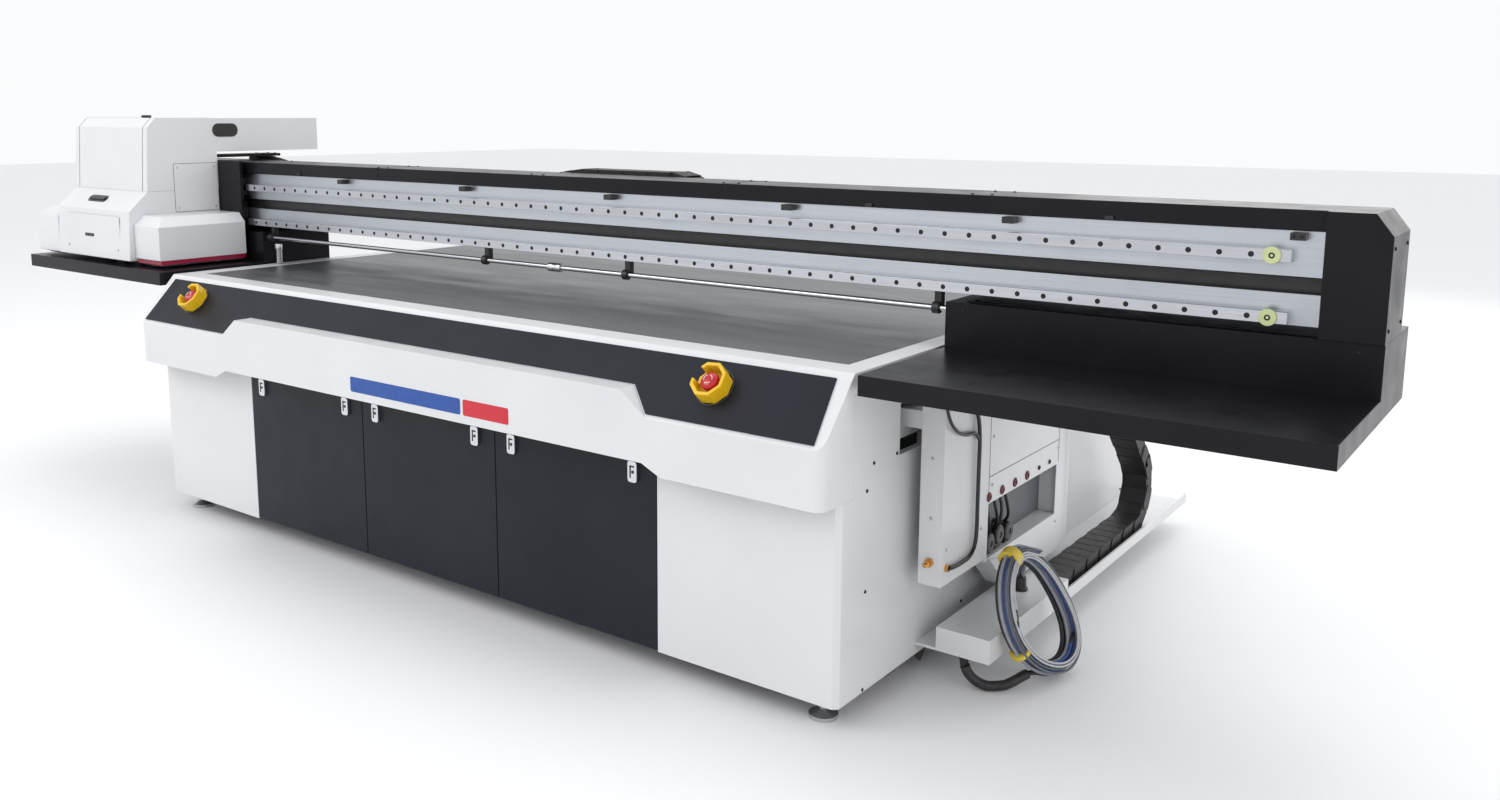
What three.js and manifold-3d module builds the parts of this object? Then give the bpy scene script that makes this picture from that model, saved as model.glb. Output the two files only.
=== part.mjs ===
// Flatbed UV printer: a vacuum table on a sheet-metal base, crossed by a gantry that slides
// front to back, with a print carriage that slides along the gantry's beam and lifts.
// Millimetres, +Z up. X runs along the beam, -Y is the operator's side.
// All dimensions are first given from the plane of the front doors (y = 0) and the floor
// (z = 0); the whole machine is then moved so that its origin is the middle of its footprint.

import * as THREE from 'three';
import { mergeVertices } from 'three/addons/utils/BufferGeometryUtils.js';
import Module from 'manifold-3d';

const wasm = await Module();
wasm.setup();

// ---------------------------------------------------------------- driving dimensions

const GAP = 0.3;

const BASE_HALF = 1310;
const BASE_REAR = 1858;
const CABINET_BOTTOM = 55;
const SHEET = 20;

const DOOR_HALF = 814;
const DOOR_COUNT = 3;
const DOOR_TOP = 535;
const DOOR_DEPTH = 18;
const DOOR_SEAM = 3;

const FASCIA_FRONT = -75;
const FASCIA_BOTTOM = 515;
const FASCIA_RAISED = 540;
const FASCIA_EDGE = 645;
const FASCIA_SHELF = 703.5;
const FASCIA_WALL = 6;

const RIM_FRONT = 51;
const RIM_TOP = 788;
const RIM_BOTTOM = 740;

const BED_HALF = 1250;
const BED_FRONT = 124;
const BED_REAR = 1474;
const BED_TOP = 786;

const SLOT_FRONT = 255;
const SLOT_REAR = 1800;
const SLOT_BOTTOM = 567;
const SLOT_TOP = 684;

const STATION_INNER = 1336;
const STATION_OUTER = 2236;
const STATION_FRONT = 15.5;
const STATION_REAR = 684;
const STATION_BOTTOM = 750;
const SHELF_TOP = 794;
const WALL_FRONT = 408;
const HOUSING_TOP = 899.7;

const BEAM_HALF = 2120;
const BEAM_FRONT = 430;
const BEAM_REAR = 575;
const BEAM_BOTTOM = 918;
const BEAM_TOP = 1104;
const LID_TOP = 1145;

const RAIL_FRONT = 408;
const RAIL_HALF = 11.5;
const LOWER_RAIL = 933;
const UPPER_RAIL = 1055;
const RAIL_HALF_LENGTH = 2062;

const LEG_INNER = 1342.3;
const LEG_OUTER = 1400;
const LEG_FRONT = 297;
const LEG_REAR = 530;
const LEG_BOTTOM = 260;

const BLOCK_LEFT = -2063;
const BLOCK_RIGHT = -1567;
const BLOCK_REAR = 389.7;
const BLOCK_TOP = 1300;
const SHOULDER = 1047;
const CARRIAGE_BOTTOM = 812;
const CARRIAGE_WALL = 3;
const LAMP_WIDTH = 157;
const ARM_BOTTOM = 1180;
const ARM_REAR = 818;

const Y_CHAIN = { inner: 1405, outer: 1485, half: 25, radius: 110, low: 113.5 };
const Y_CHAIN_FIXED = 832.3;
const Y_CHAIN_CENTRE = 1410;
const Y_CHAIN_TURN = 135;
const Y_CHAIN_HIGH = 695;
const Y_CHAIN_MOVING = 612;

const X_CHAIN = { front: 610, rear: 690, half: 20, radius: 102, low: 932.5 };
const X_CHAIN_FIXED = -1365;
const X_CHAIN_CENTRE = 365;
const X_CHAIN_MOVING = -1705;

const TRAY_FRONT = 354;
const TRAY_OUTER = 1500;
const TRAY_BOTTOM = 82;
const COVER_REAR = 832;
const COVER_TOP = 140;

const STOP_X = [-1078, 990];
const STOP_UP = 104;
const LATCH_Z = 489;
const LATCH_INSET = 68;
const FOOT_X = 1240;
const FOOT_Y = [62, 1792];

// ---------------------------------------------------------------- paints and finishes

function finish(color, roughness, metalness) {
	return new THREE.MeshStandardMaterial({ color, roughness, metalness });
}

const WHITE = finish(0xe4e6ea, 0.45, 0.1);
const BLACK = finish(0x16181c, 0.4, 0.2);
const DOOR_BLACK = finish(0x22252d, 0.5, 0.2);
const BED_GREY = finish(0x5c5f66, 0.55, 0.5);
const SILVER = finish(0xb8bcc4, 0.3, 0.9);
const STEEL = finish(0x9aa0a8, 0.3, 0.9);
const FRAME_GREY = finish(0x6d7278, 0.6, 0.4);
const YELLOW = finish(0xe6c317, 0.5, 0);
const RED = finish(0xc22230, 0.45, 0);
const RUBBER = finish(0x101113, 0.8, 0);

// ---------------------------------------------------------------- shape helpers

const X_AXIS = new THREE.Vector3(1, 0, 0);
const Y_AXIS = new THREE.Vector3(0, 1, 0);
const Z_AXIS = new THREE.Vector3(0, 0, 1);

function box(x0, x1, y0, y1, z0, z1) {
	const geometry = new THREE.BoxGeometry(x1 - x0, y1 - y0, z1 - z0);
	return geometry.translate((x0 + x1) / 2, (y0 + y1) / 2, (z0 + z1) / 2);
}

function outline(points) {
	return new THREE.Shape(points.map(([a, b]) => new THREE.Vector2(a, b)));
}

function prism(shape, depth) {
	return new THREE.ExtrudeGeometry(shape, { depth, bevelEnabled: false, curveSegments: 8 });
}

// An outline of (y, z) points drawn out along X.
function prismX(points, x0, x1) {
	const turn = new THREE.Matrix4().makeBasis(Y_AXIS, Z_AXIS, X_AXIS);
	return prism(outline(points), x1 - x0).applyMatrix4(turn).translate(x0, 0, 0);
}

// An outline of (x, z) points drawn out along Y.
function prismY(points, y0, y1) {
	const turn = new THREE.Matrix4().makeBasis(X_AXIS, Z_AXIS, Y_AXIS.clone().negate());
	return prism(outline(points), y1 - y0).applyMatrix4(turn).translate(0, y1, 0);
}

// An outline of (x, y) points drawn out along Z.
function prismZ(points, z0, z1) {
	return prism(outline(points), z1 - z0).translate(0, 0, z0);
}

function disc(radius, z0, z1, sides = 32) {
	const geometry = new THREE.CylinderGeometry(radius, radius, z1 - z0, sides);
	return geometry.rotateX(Math.PI / 2).translate(0, 0, (z0 + z1) / 2);
}

function arc(cx, cy, radius, from, to, steps) {
	const points = [];
	for (let i = 0; i <= steps; i += 1) {
		const angle = THREE.MathUtils.degToRad(from + ((to - from) * i) / steps);
		points.push([cx + radius * Math.cos(angle), cy + radius * Math.sin(angle)]);
	}
	return points;
}

function solid(geometry) {
	const bare = geometry.clone();
	bare.deleteAttribute('normal');
	bare.deleteAttribute('uv');
	const merged = mergeVertices(bare, 1e-4);
	const mesh = new wasm.Mesh({
		numProp: 3,
		vertProperties: new Float32Array(merged.attributes.position.array),
		triVerts: new Uint32Array(merged.index.array),
	});
	return new wasm.Manifold(mesh);
}

function geometryOf(manifold) {
	const mesh = manifold.getMesh();
	const geometry = new THREE.BufferGeometry();
	geometry.setAttribute('position', new THREE.BufferAttribute(new Float32Array(mesh.vertProperties), 3));
	geometry.setIndex(new THREE.BufferAttribute(new Uint32Array(mesh.triVerts), 1));
	geometry.computeVertexNormals();
	return geometry;
}

function join(...geometries) {
	return geometryOf(geometries.map(solid).reduce((sum, next) => sum.add(next)));
}

function cut(base, ...tools) {
	return geometryOf(tools.map(solid).reduce((rest, tool) => rest.subtract(tool), solid(base)));
}

function common(first, second) {
	return geometryOf(solid(first).intersect(solid(second)));
}

function tube(points, radius, sides, steps) {
	const path = new THREE.CatmullRomCurve3(points.map((p) => new THREE.Vector3(...p)));
	const section = outline(arc(0, 0, radius, 0, 360 - 360 / sides, sides - 1));
	return new THREE.ExtrudeGeometry(section, { steps, bevelEnabled: false, extrudePath: path });
}

// A band of even thickness that follows a path of (a, b) points.
function band(path, half) {
	const left = [];
	const right = [];
	path.forEach(([a, b], i) => {
		const before = path[Math.max(i - 1, 0)];
		const after = path[Math.min(i + 1, path.length - 1)];
		const da = after[0] - before[0];
		const db = after[1] - before[1];
		const length = Math.hypot(da, db);
		left.push([a - (db / length) * half, b + (da / length) * half]);
		right.push([a + (db / length) * half, b - (da / length) * half]);
	});
	return left.concat(right.reverse());
}

function mirrored(geometry) {
	const flipped = geometry.clone().applyMatrix4(new THREE.Matrix4().makeScale(-1, 1, 1));
	const index = flipped.index ? flipped.index.array : null;
	if (index) {
		for (let i = 0; i < index.length; i += 3) {
			[index[i], index[i + 1]] = [index[i + 1], index[i]];
		}
		return flipped;
	}
	const points = flipped.attributes.position.array;
	for (let i = 0; i < points.length; i += 9) {
		for (let k = 0; k < 3; k += 1) {
			[points[i + k], points[i + 3 + k]] = [points[i + 3 + k], points[i + k]];
		}
	}
	return flipped;
}

const machine = new THREE.Group();

function part(name, geometry, material, holder = machine) {
	const mesh = new THREE.Mesh(geometry, material);
	mesh.name = name;
	holder.add(mesh);
	return mesh;
}

// ---------------------------------------------------------------- base

// A ladder of box tubes; it carries the table and one gantry rail, and stands on a wide
// plate over each levelling foot.
function endFrame() {
	const inner = 1120;
	const outer = 1200;
	const tube = 80;
	const posts = [];
	for (let i = 0; i < 5; i += 1) {
		const y = 60 + i * 410;
		posts.push(box(inner, outer, y, y + tube, CABINET_BOTTOM, 650));
	}
	const plates = FOOT_Y.map((y) => box(inner, 1284, y - 36, y + 36, CABINET_BOTTOM, 75));
	const topRail = box(inner, outer, 40, 1820, 600, 700);
	const bottomRail = box(inner, outer, 40, 1820, 120, 180);
	return join(topRail, bottomRail, ...posts, ...plates);
}

// The white end cabinet: a front panel and a side wall in one folded sheet, with the
// long slot that the gantry's arm runs in.
function endCabinet() {
	const corner = 12;
	const wall = prismZ([
		[DOOR_HALF, 0],
		[BASE_HALF - corner, 0],
		[BASE_HALF, corner],
		[BASE_HALF, BASE_REAR],
		[BASE_HALF - SHEET, BASE_REAR],
		[BASE_HALF - SHEET, SHEET],
		[DOOR_HALF, SHEET],
	], CABINET_BOTTOM, RIM_BOTTOM - GAP);
	const notch = box(DOOR_HALF - 1, BASE_HALF + 1, -1, RIM_FRONT + 1, FASCIA_BOTTOM - GAP, RIM_TOP);
	const slot = box(BASE_HALF - 30, BASE_HALF + 10, SLOT_FRONT, SLOT_REAR, SLOT_BOTTOM, SLOT_TOP);
	return cut(wall, notch, slot);
}

function rearPanel() {
	const half = BASE_HALF - SHEET - 1;
	const sheet = box(-half, half, BASE_REAR - SHEET, BASE_REAR, CABINET_BOTTOM, RIM_BOTTOM - GAP);
	const back = box(-half + 3, half - 3, BASE_REAR - SHEET - 1, BASE_REAR - 3,
		CABINET_BOTTOM + 3, RIM_BOTTOM - GAP - 3);
	return cut(sheet, back);
}

// The overhanging white front: an upright face that turns into a slope up to the table rim,
// with its lower edge raised above the doors and its ends closed and rounded.
// The middle of the front carries straight up past the fold, with slanted ends.
function raisedMiddle(inset) {
	const front = FASCIA_FRONT + inset;
	const top = FASCIA_SHELF - inset;
	const fold = FASCIA_EDGE - 5;
	const wedge = prismX([[front, fold], [-20 + 0.7 * inset, top], [front, top]], -900, 900);
	const ends = prismY([
		[-852 + inset, fold],
		[852 - inset, fold],
		[768 - inset, top],
		[-768 + inset, top],
	], FASCIA_FRONT - 5, 0);
	return common(wedge, ends);
}

function fascia() {
	const rear = RIM_FRONT - GAP;
	const wall = FASCIA_WALL;
	const profile = [
		[FASCIA_FRONT, FASCIA_BOTTOM],
		[FASCIA_FRONT, FASCIA_EDGE],
		[rear, RIM_TOP - GAP],
		[rear, RIM_TOP - GAP - 1.5 * wall],
		[FASCIA_FRONT + wall, FASCIA_EDGE - 0.4 * wall],
		[FASCIA_FRONT + wall, FASCIA_BOTTOM],
	].reverse();
	const end = [
		[FASCIA_FRONT, FASCIA_BOTTOM],
		[FASCIA_FRONT, FASCIA_EDGE],
		[rear, RIM_TOP - GAP],
		[rear, FASCIA_BOTTOM],
	].reverse();
	const radius = 26;
	const corner = [
		[FASCIA_FRONT + radius, FASCIA_BOTTOM],
		[FASCIA_FRONT + radius, FASCIA_EDGE + radius],
		[FASCIA_FRONT + 1, FASCIA_EDGE],
		[FASCIA_FRONT + 1, FASCIA_BOTTOM],
	];
	const skin = join(
		prismX(profile, -BASE_HALF, BASE_HALF),
		prismX(end, -BASE_HALF, -BASE_HALF + wall),
		prismX(end, BASE_HALF - wall, BASE_HALF),
		prismX(corner, -BASE_HALF + 1, -BASE_HALF + 20),
		prismX(corner, BASE_HALF - 20, BASE_HALF - 1),
	);
	const lift = prismY([
		[-DOOR_HALF - 82, FASCIA_BOTTOM - 5],
		[DOOR_HALF + 82, FASCIA_BOTTOM - 5],
		[DOOR_HALF + 16, FASCIA_RAISED],
		[-DOOR_HALF - 16, FASCIA_RAISED],
	], FASCIA_FRONT - 5, 0);
	const plan = prismZ([
		...arc(BASE_HALF - radius, FASCIA_FRONT + radius, radius, -90, 0, 5),
		[BASE_HALF, 100],
		[-BASE_HALF, 100],
		...arc(-BASE_HALF + radius, FASCIA_FRONT + radius, radius, 180, 270, 5),
	], FASCIA_BOTTOM - 10, RIM_TOP + 10);
	const raised = cut(join(skin, raisedMiddle(0)), raisedMiddle(wall));
	return common(cut(raised, lift), plan);
}

// The frame of the sloped face: x along the machine, y up the slope, z out of it.
const SLOPE_UP = new THREE.Vector3(0, RIM_FRONT - FASCIA_FRONT, RIM_TOP - FASCIA_EDGE).normalize();
const SLOPE_OUT = new THREE.Vector3().crossVectors(X_AXIS, SLOPE_UP);

function slopeGroup(x, up, out) {
	const group = new THREE.Group();
	const place = new THREE.Matrix4().makeBasis(X_AXIS, SLOPE_UP, SLOPE_OUT);
	const origin = new THREE.Vector3(x, FASCIA_FRONT, FASCIA_EDGE)
		.addScaledVector(SLOPE_UP, up)
		.addScaledVector(SLOPE_OUT, out);
	place.setPosition(origin);
	group.applyMatrix4(place);
	machine.add(group);
	return group;
}

const STRIP_THICK = 4;

function controlStrip() {
	const low = 11;
	const raised = 80;
	const high = 172;
	return prismZ([
		[-1286, low],
		[-839, low],
		[-770, raised],
		[770, raised],
		[839, low],
		[1286, low],
		[1274, high],
		[-1274, high],
	], 0, STRIP_THICK);
}

// An eight-sided collar with a tall wall that is open on one side for the hand.
function stopGuard() {
	const collar = disc(45, 0, 38, 8);
	const bowl = disc(36, 6, 45, 8);
	const bore = disc(17.5, -5, 45, 24);
	const hand = box(-60, -12, -15, 15, 12, 45);
	return cut(collar, bowl, bore, hand).rotateZ(THREE.MathUtils.degToRad(-18));
}

function stopButton() {
	const profile = [
		[0, 0],
		[16.5, 0],
		[16.5, 12],
		[21, 12],
		[22.5, 16],
		[21, 24],
		[14, 28],
		[0, 30],
	].map(([r, z]) => new THREE.Vector2(r, z));
	return new THREE.LatheGeometry(profile, 24).rotateX(Math.PI / 2);
}

function tableRim() {
	const outer = box(-BASE_HALF, BASE_HALF, RIM_FRONT, BASE_REAR, RIM_BOTTOM, RIM_TOP);
	const hole = box(-BED_HALF - GAP, BED_HALF + GAP, BED_FRONT - GAP, BED_REAR + GAP,
		RIM_BOTTOM - 5, RIM_TOP + 5);
	const under = box(-BASE_HALF + 6, BASE_HALF - 6, RIM_FRONT + 6, BASE_REAR - 6,
		RIM_BOTTOM - 5, RIM_TOP - 6);
	return cut(outer, hole, under);
}

// The suction plate: a thin skin over a grid of ribs that is open below.
function printBed() {
	const plate = box(-BED_HALF, BED_HALF, BED_FRONT, BED_REAR, 742.3, BED_TOP);
	const cells = [];
	const columns = 5;
	const width = (2 * BED_HALF) / columns;
	for (let i = 0; i < columns; i += 1) {
		const left = -BED_HALF + i * width + 8;
		cells.push(box(left, left + width - 16, BED_FRONT + 8, BED_REAR - 8, 740, BED_TOP - 6));
	}
	return cut(plate, ...cells);
}

function vacuumPlenum() {
	const pan = box(-1200, 1200, 174, 1424, 700.3, 742);
	const hollow = box(-1196, 1196, 178, 1420, 704.3, 743);
	return cut(pan, hollow);
}

function vacuumBlower() {
	const drum = disc(150, 560, 700, 32).translate(0, 800, 0);
	const outlet = box(0, 190, 860, 940, 580, 680);
	return join(drum, outlet);
}

function levellingFoot() {
	const profile = [
		[0, 0],
		[34, 0],
		[34, 8],
		[14, 18],
		[9, 20],
		[9, 54.5],
		[0, 54.5],
	].map(([r, z]) => new THREE.Vector2(r, z));
	return new THREE.LatheGeometry(profile, 20).rotateX(Math.PI / 2);
}

// The open channel that the Y chain lies in; its front end is a closed cable cover.
function chainTray() {
	const floor = box(BASE_HALF + GAP, TRAY_OUTER, TRAY_FRONT, BASE_REAR, TRAY_BOTTOM, TRAY_BOTTOM + 6);
	const outerWall = box(TRAY_OUTER - 6, TRAY_OUTER, TRAY_FRONT, BASE_REAR, TRAY_BOTTOM, 112);
	const innerWall = box(1384, 1389, TRAY_FRONT, BASE_REAR, TRAY_BOTTOM, 112);
	const cover = box(1365, TRAY_OUTER, TRAY_FRONT, COVER_REAR, TRAY_BOTTOM, COVER_TOP);
	const inside = box(1389, TRAY_OUTER - 4, TRAY_FRONT + 4, COVER_REAR + 5,
		TRAY_BOTTOM + 6, COVER_TOP - 4);
	const gland = disc(22, COVER_TOP - 1, COVER_TOP + 16, 20).translate(...GLAND_AT);
	const shell = cut(join(floor, outerWall, innerWall, cover), inside);
	return join(shell, gland);
}

const GLAND_AT = [1444, 652, 0];

function doorPanel(index) {
	const width = (2 * DOOR_HALF) / DOOR_COUNT;
	const left = -DOOR_HALF + index * width + DOOR_SEAM / 2;
	const right = left + width - DOOR_SEAM;
	const skin = box(left, right, 0, DOOR_DEPTH, CABINET_BOTTOM + 4, DOOR_TOP);
	const back = box(left + 3, right - 3, 3, DOOR_DEPTH + 1, CABINET_BOTTOM + 7, DOOR_TOP - 3);
	return cut(skin, back);
}

function latch() {
	const half = 14;
	const tall = 26;
	const radius = 7;
	return prismY([
		...arc(half - radius, tall - radius, radius, 0, 90, 3),
		...arc(-half + radius, tall - radius, radius, 90, 180, 3),
		...arc(-half + radius, -tall + radius, radius, 180, 270, 3),
		...arc(half - radius, -tall + radius, radius, 270, 360, 3),
	], -10, -GAP);
}

// ---------------------------------------------------------------- gantry

// The beam's section: a hollow box with a dark groove between the two rail faces, and a
// shelf along its rear foot for the X chain.
function beam() {
	const shape = outline([
		[BEAM_FRONT, BEAM_BOTTOM],
		[560, BEAM_BOTTOM],
		[560, 900.5],
		[700, 900.5],
		[700, 925],
		[696, 925],
		[696, 906],
		[BEAM_REAR, 906],
		[BEAM_REAR, BEAM_TOP],
		[BEAM_FRONT, BEAM_TOP],
		[BEAM_FRONT, 1014],
		[452, 1014],
		[452, 981],
		[BEAM_FRONT, 981],
	]);
	const core = new THREE.Path([[470, 935], [470, 1090], [560, 1090], [560, 935]]
		.map(([y, z]) => new THREE.Vector2(y, z)));
	shape.holes.push(core);
	const turn = new THREE.Matrix4().makeBasis(Y_AXIS, Z_AXIS, X_AXIS);
	return prism(shape, 2 * BEAM_HALF).applyMatrix4(turn).translate(-BEAM_HALF, 0, 0);
}

function beamLid() {
	const half = BEAM_HALF - GAP;
	const outer = box(-half, half, 422, 590, BEAM_TOP + GAP, LID_TOP);
	const inner = box(-half - 1, half + 1, 426, 586, BEAM_TOP - 5, LID_TOP - 4);
	return cut(outer, inner);
}

function guideRail(z) {
	const waist = RAIL_HALF - 4;
	return prismX([
		[RAIL_FRONT, z - RAIL_HALF],
		[RAIL_FRONT + 7, z - RAIL_HALF],
		[RAIL_FRONT + 10, z - waist],
		[RAIL_FRONT + 14, z - RAIL_HALF],
		[BEAM_FRONT - GAP, z - RAIL_HALF],
		[BEAM_FRONT - GAP, z + RAIL_HALF],
		[RAIL_FRONT + 14, z + RAIL_HALF],
		[RAIL_FRONT + 10, z + waist],
		[RAIL_FRONT + 7, z + RAIL_HALF],
		[RAIL_FRONT, z + RAIL_HALF],
	], -RAIL_HALF_LENGTH, RAIL_HALF_LENGTH);
}

function endCover() {
	const chamfer = 32;
	const inner = BEAM_HALF + GAP;
	const shell = prismY([
		[inner, HOUSING_TOP + GAP],
		[STATION_OUTER, HOUSING_TOP + GAP],
		[STATION_OUTER, LID_TOP - 1.3 * chamfer],
		[STATION_OUTER - chamfer, LID_TOP],
		[inner, LID_TOP],
	], 400, 590);
	const hollow = box(inner - 5, STATION_OUTER - 5, 405, 585, HOUSING_TOP + 5, LID_TOP - 1.3 * chamfer);
	return cut(shell, hollow);
}

// A parking station outboard of the table: a flat shelf with a taller housing behind it.
function station(extra) {
	const shelf = box(STATION_INNER, STATION_OUTER, STATION_FRONT, WALL_FRONT + 1, STATION_BOTTOM, SHELF_TOP);
	const housing = box(STATION_INNER, STATION_OUTER, WALL_FRONT, STATION_REAR, STATION_BOTTOM, HOUSING_TOP);
	const underShelf = box(STATION_INNER + 5, STATION_OUTER - 5, STATION_FRONT + 5, WALL_FRONT + 5,
		STATION_BOTTOM - 5, SHELF_TOP - 5);
	const underHousing = box(STATION_INNER + 5, STATION_OUTER - 5, WALL_FRONT + 5, STATION_REAR - 5,
		STATION_BOTTOM - 5, HOUSING_TOP - 5);
	const shell = cut(join(shelf, housing), underShelf, underHousing);
	return extra ? join(shell, extra) : shell;
}

function chainBracket() {
	const top = Y_CHAIN_HIGH + Y_CHAIN.half + 0.5;
	return box(Y_CHAIN.inner + 5, Y_CHAIN.outer - 5, 620, 676, top, HOUSING_TOP - 2);
}

// The upright that hangs the gantry's end from a bearing on the rail inside the base.
function leg() {
	const column = box(LEG_INNER, LEG_OUTER, LEG_FRONT, LEG_REAR, LEG_BOTTOM, SHELF_TOP - 5.5);
	const arm = box(1206, 1284, LEG_FRONT + 3, 420, 590, 660);
	const neck = box(1283, LEG_INNER + 1, LEG_FRONT + 3, 420, 622, 664);
	const groove = box(1190, 1224.6, LEG_FRONT, 425, 609.4, 640.6);
	const hollow = box(LEG_INNER + 5, LEG_OUTER - 5, LEG_FRONT + 5, LEG_REAR - 5,
		LEG_BOTTOM - 5, 580);
	return cut(join(column, arm, neck), groove, hollow);
}

// A slim cabinet with a window in its outer face and a rear end that curves in.
function electricsEnclosure() {
	const front = LEG_REAR + GAP;
	const flatEnd = 990;
	const tail = 160;
	const curve = [];
	for (let i = 1; i <= 6; i += 1) {
		const angle = (Math.PI / 2) * (i / 6);
		const x = LEG_INNER + 10 + (LEG_OUTER - LEG_INNER - 10) * Math.cos(angle);
		curve.push([x, flatEnd + tail * Math.sin(angle)]);
	}
	const body = prismZ([
		[LEG_INNER, front],
		[LEG_OUTER, front],
		[LEG_OUTER, flatEnd],
		...curve,
		[LEG_INNER, flatEnd + tail],
	], 150, STATION_BOTTOM - GAP);
	const sill = 257;
	const inside = box(LEG_INNER + 4, LEG_OUTER - 4, front + 6, flatEnd - 4, sill, 560);
	const window = box(LEG_OUTER - 10, LEG_OUTER + 5, front + 14, 975, sill, 395);
	const underFront = prismX([
		[front - 10, 140],
		[front + 150, 140],
		[front + 30, sill - 5],
		[front - 10, sill - 5],
	], LEG_INNER - 5, LEG_OUTER + 5);
	return cut(body, inside, window, underFront);
}

function xMotor() {
	const motor = disc(42, 2126, 2210, 24).rotateY(Math.PI / 2).translate(0, 500, 1010);
	const flange = box(2121, 2127, 455, 545, 965, 1055);
	return join(motor, flange);
}

function airTube() {
	const x = LEG_OUTER + 8;
	return tube([
		[x, 322, 302],
		[x, 350, 298],
		[x, 390, 297],
		[x, 430, 300],
		[x, 455, 318],
		[x, 463, 350],
		[x, 463, 420],
		[x, 463, 500],
		[x, 462, 580],
		[x, 450, 632],
		[x, 420, 668],
		[x, 385, 700],
		[x, 368, 745],
	], 5, 8, 40);
}

// ---------------------------------------------------------------- drag chains

function yChainPath() {
	const { radius, low } = Y_CHAIN;
	const turn = THREE.MathUtils.degToRad(Y_CHAIN_TURN - 90);
	const y = Y_CHAIN_CENTRE + radius * Math.cos(turn);
	const z = low + radius + radius * Math.sin(turn);
	const lead = 300;
	const drop = lead * (1 - Math.SQRT1_2);
	const straight = Y_CHAIN_HIGH - drop - z;
	const bend = arc(y - straight - lead * Math.SQRT1_2, Y_CHAIN_HIGH - lead, lead, 45, 90, 6);
	return [[y, z], ...bend, [Y_CHAIN_MOVING, Y_CHAIN_HIGH]];
}

function yChainLower() {
	const { inner, outer, half, low } = Y_CHAIN;
	return box(inner, outer, Y_CHAIN_FIXED, Y_CHAIN_CENTRE - GAP, low - half, low + half);
}

function yChainBend() {
	const { inner, outer, half, radius, low } = Y_CHAIN;
	const end = Y_CHAIN_TURN - 90;
	const outside = arc(Y_CHAIN_CENTRE, low + radius, radius + half, -90, end, 12);
	const inside = arc(Y_CHAIN_CENTRE, low + radius, radius - half, -90, end, 12);
	return prismX(outside.concat(inside.reverse()), inner, outer);
}

function yChainUpper() {
	const path = yChainPath();
	const [y, z] = path[0];
	path[0] = [y - 1, z + 1];
	return prismX(band(path, Y_CHAIN.half), Y_CHAIN.inner, Y_CHAIN.outer);
}

function xChainLower() {
	const { front, rear, half, low } = X_CHAIN;
	return box(X_CHAIN_FIXED, X_CHAIN_CENTRE - GAP, front, rear, low - half, low + half);
}

function xChainBend() {
	const { front, rear, half, radius, low } = X_CHAIN;
	const outside = arc(X_CHAIN_CENTRE, low + radius, radius + half, -90, 90, 14);
	const inside = arc(X_CHAIN_CENTRE, low + radius, radius - half, -90, 90, 14);
	return prismY(outside.concat(inside.reverse()), front, rear);
}

// The upper run drops a little after its bend and rises again to the carriage's arm.
function xChainUpper() {
	const { front, rear, half, radius, low } = X_CHAIN;
	const high = low + 2 * radius;
	const level = X_CHAIN_CENTRE - 325;
	const ramp = 220;
	const sag = 26;
	const path = [[X_CHAIN_CENTRE - GAP, high]];
	const steps = 24;
	for (let i = 0; i <= steps; i += 1) {
		const x = level + ((X_CHAIN_MOVING - level) * i) / steps;
		const near = Math.min(level - x, x - X_CHAIN_MOVING, ramp) / ramp;
		const drop = (sag * (1 - Math.cos(Math.PI * near))) / 2;
		path.push([x, high - drop]);
	}
	return prismY(band(path, half), front, rear);
}

// ---------------------------------------------------------------- carriage

// The plate behind the carriage: four bearing blocks grip the two rails, and a flat arm
// reaches over the beam to hold the moving end of the X chain.
function carriagePlate() {
	const plate = box(-2110, -1430, 390, 402, 962, 1149);
	const blocks = [];
	const grooves = [];
	for (const x of [-1960, -1505]) {
		for (const z of [LOWER_RAIL + 42, UPPER_RAIL]) {
			blocks.push(box(x - 55, x + 55, 401, 427, z - 30, z + 30));
		}
		blocks.push(box(x - 55, x + 55, 390, 402, LOWER_RAIL - 24, 1000));
		blocks.push(box(x - 55, x + 55, 401, 427, LOWER_RAIL - 24, LOWER_RAIL + 24));
		grooves.push(box(x - 60, x + 60, RAIL_FRONT - 0.6, 431, UPPER_RAIL - 12.3, UPPER_RAIL + 12.3));
		grooves.push(box(x - 60, x + 60, RAIL_FRONT - 0.6, 431, LOWER_RAIL - 12.3, LOWER_RAIL + 12.3));
	}
	const arm = box(X_CHAIN_MOVING, X_CHAIN_MOVING + 90, 390, 684, 1157, 1167);
	const root = box(X_CHAIN_MOVING, X_CHAIN_MOVING + 90, 390, 402, 1140, 1167);
	return cut(join(plate, arm, root, ...blocks), ...grooves);
}

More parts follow.
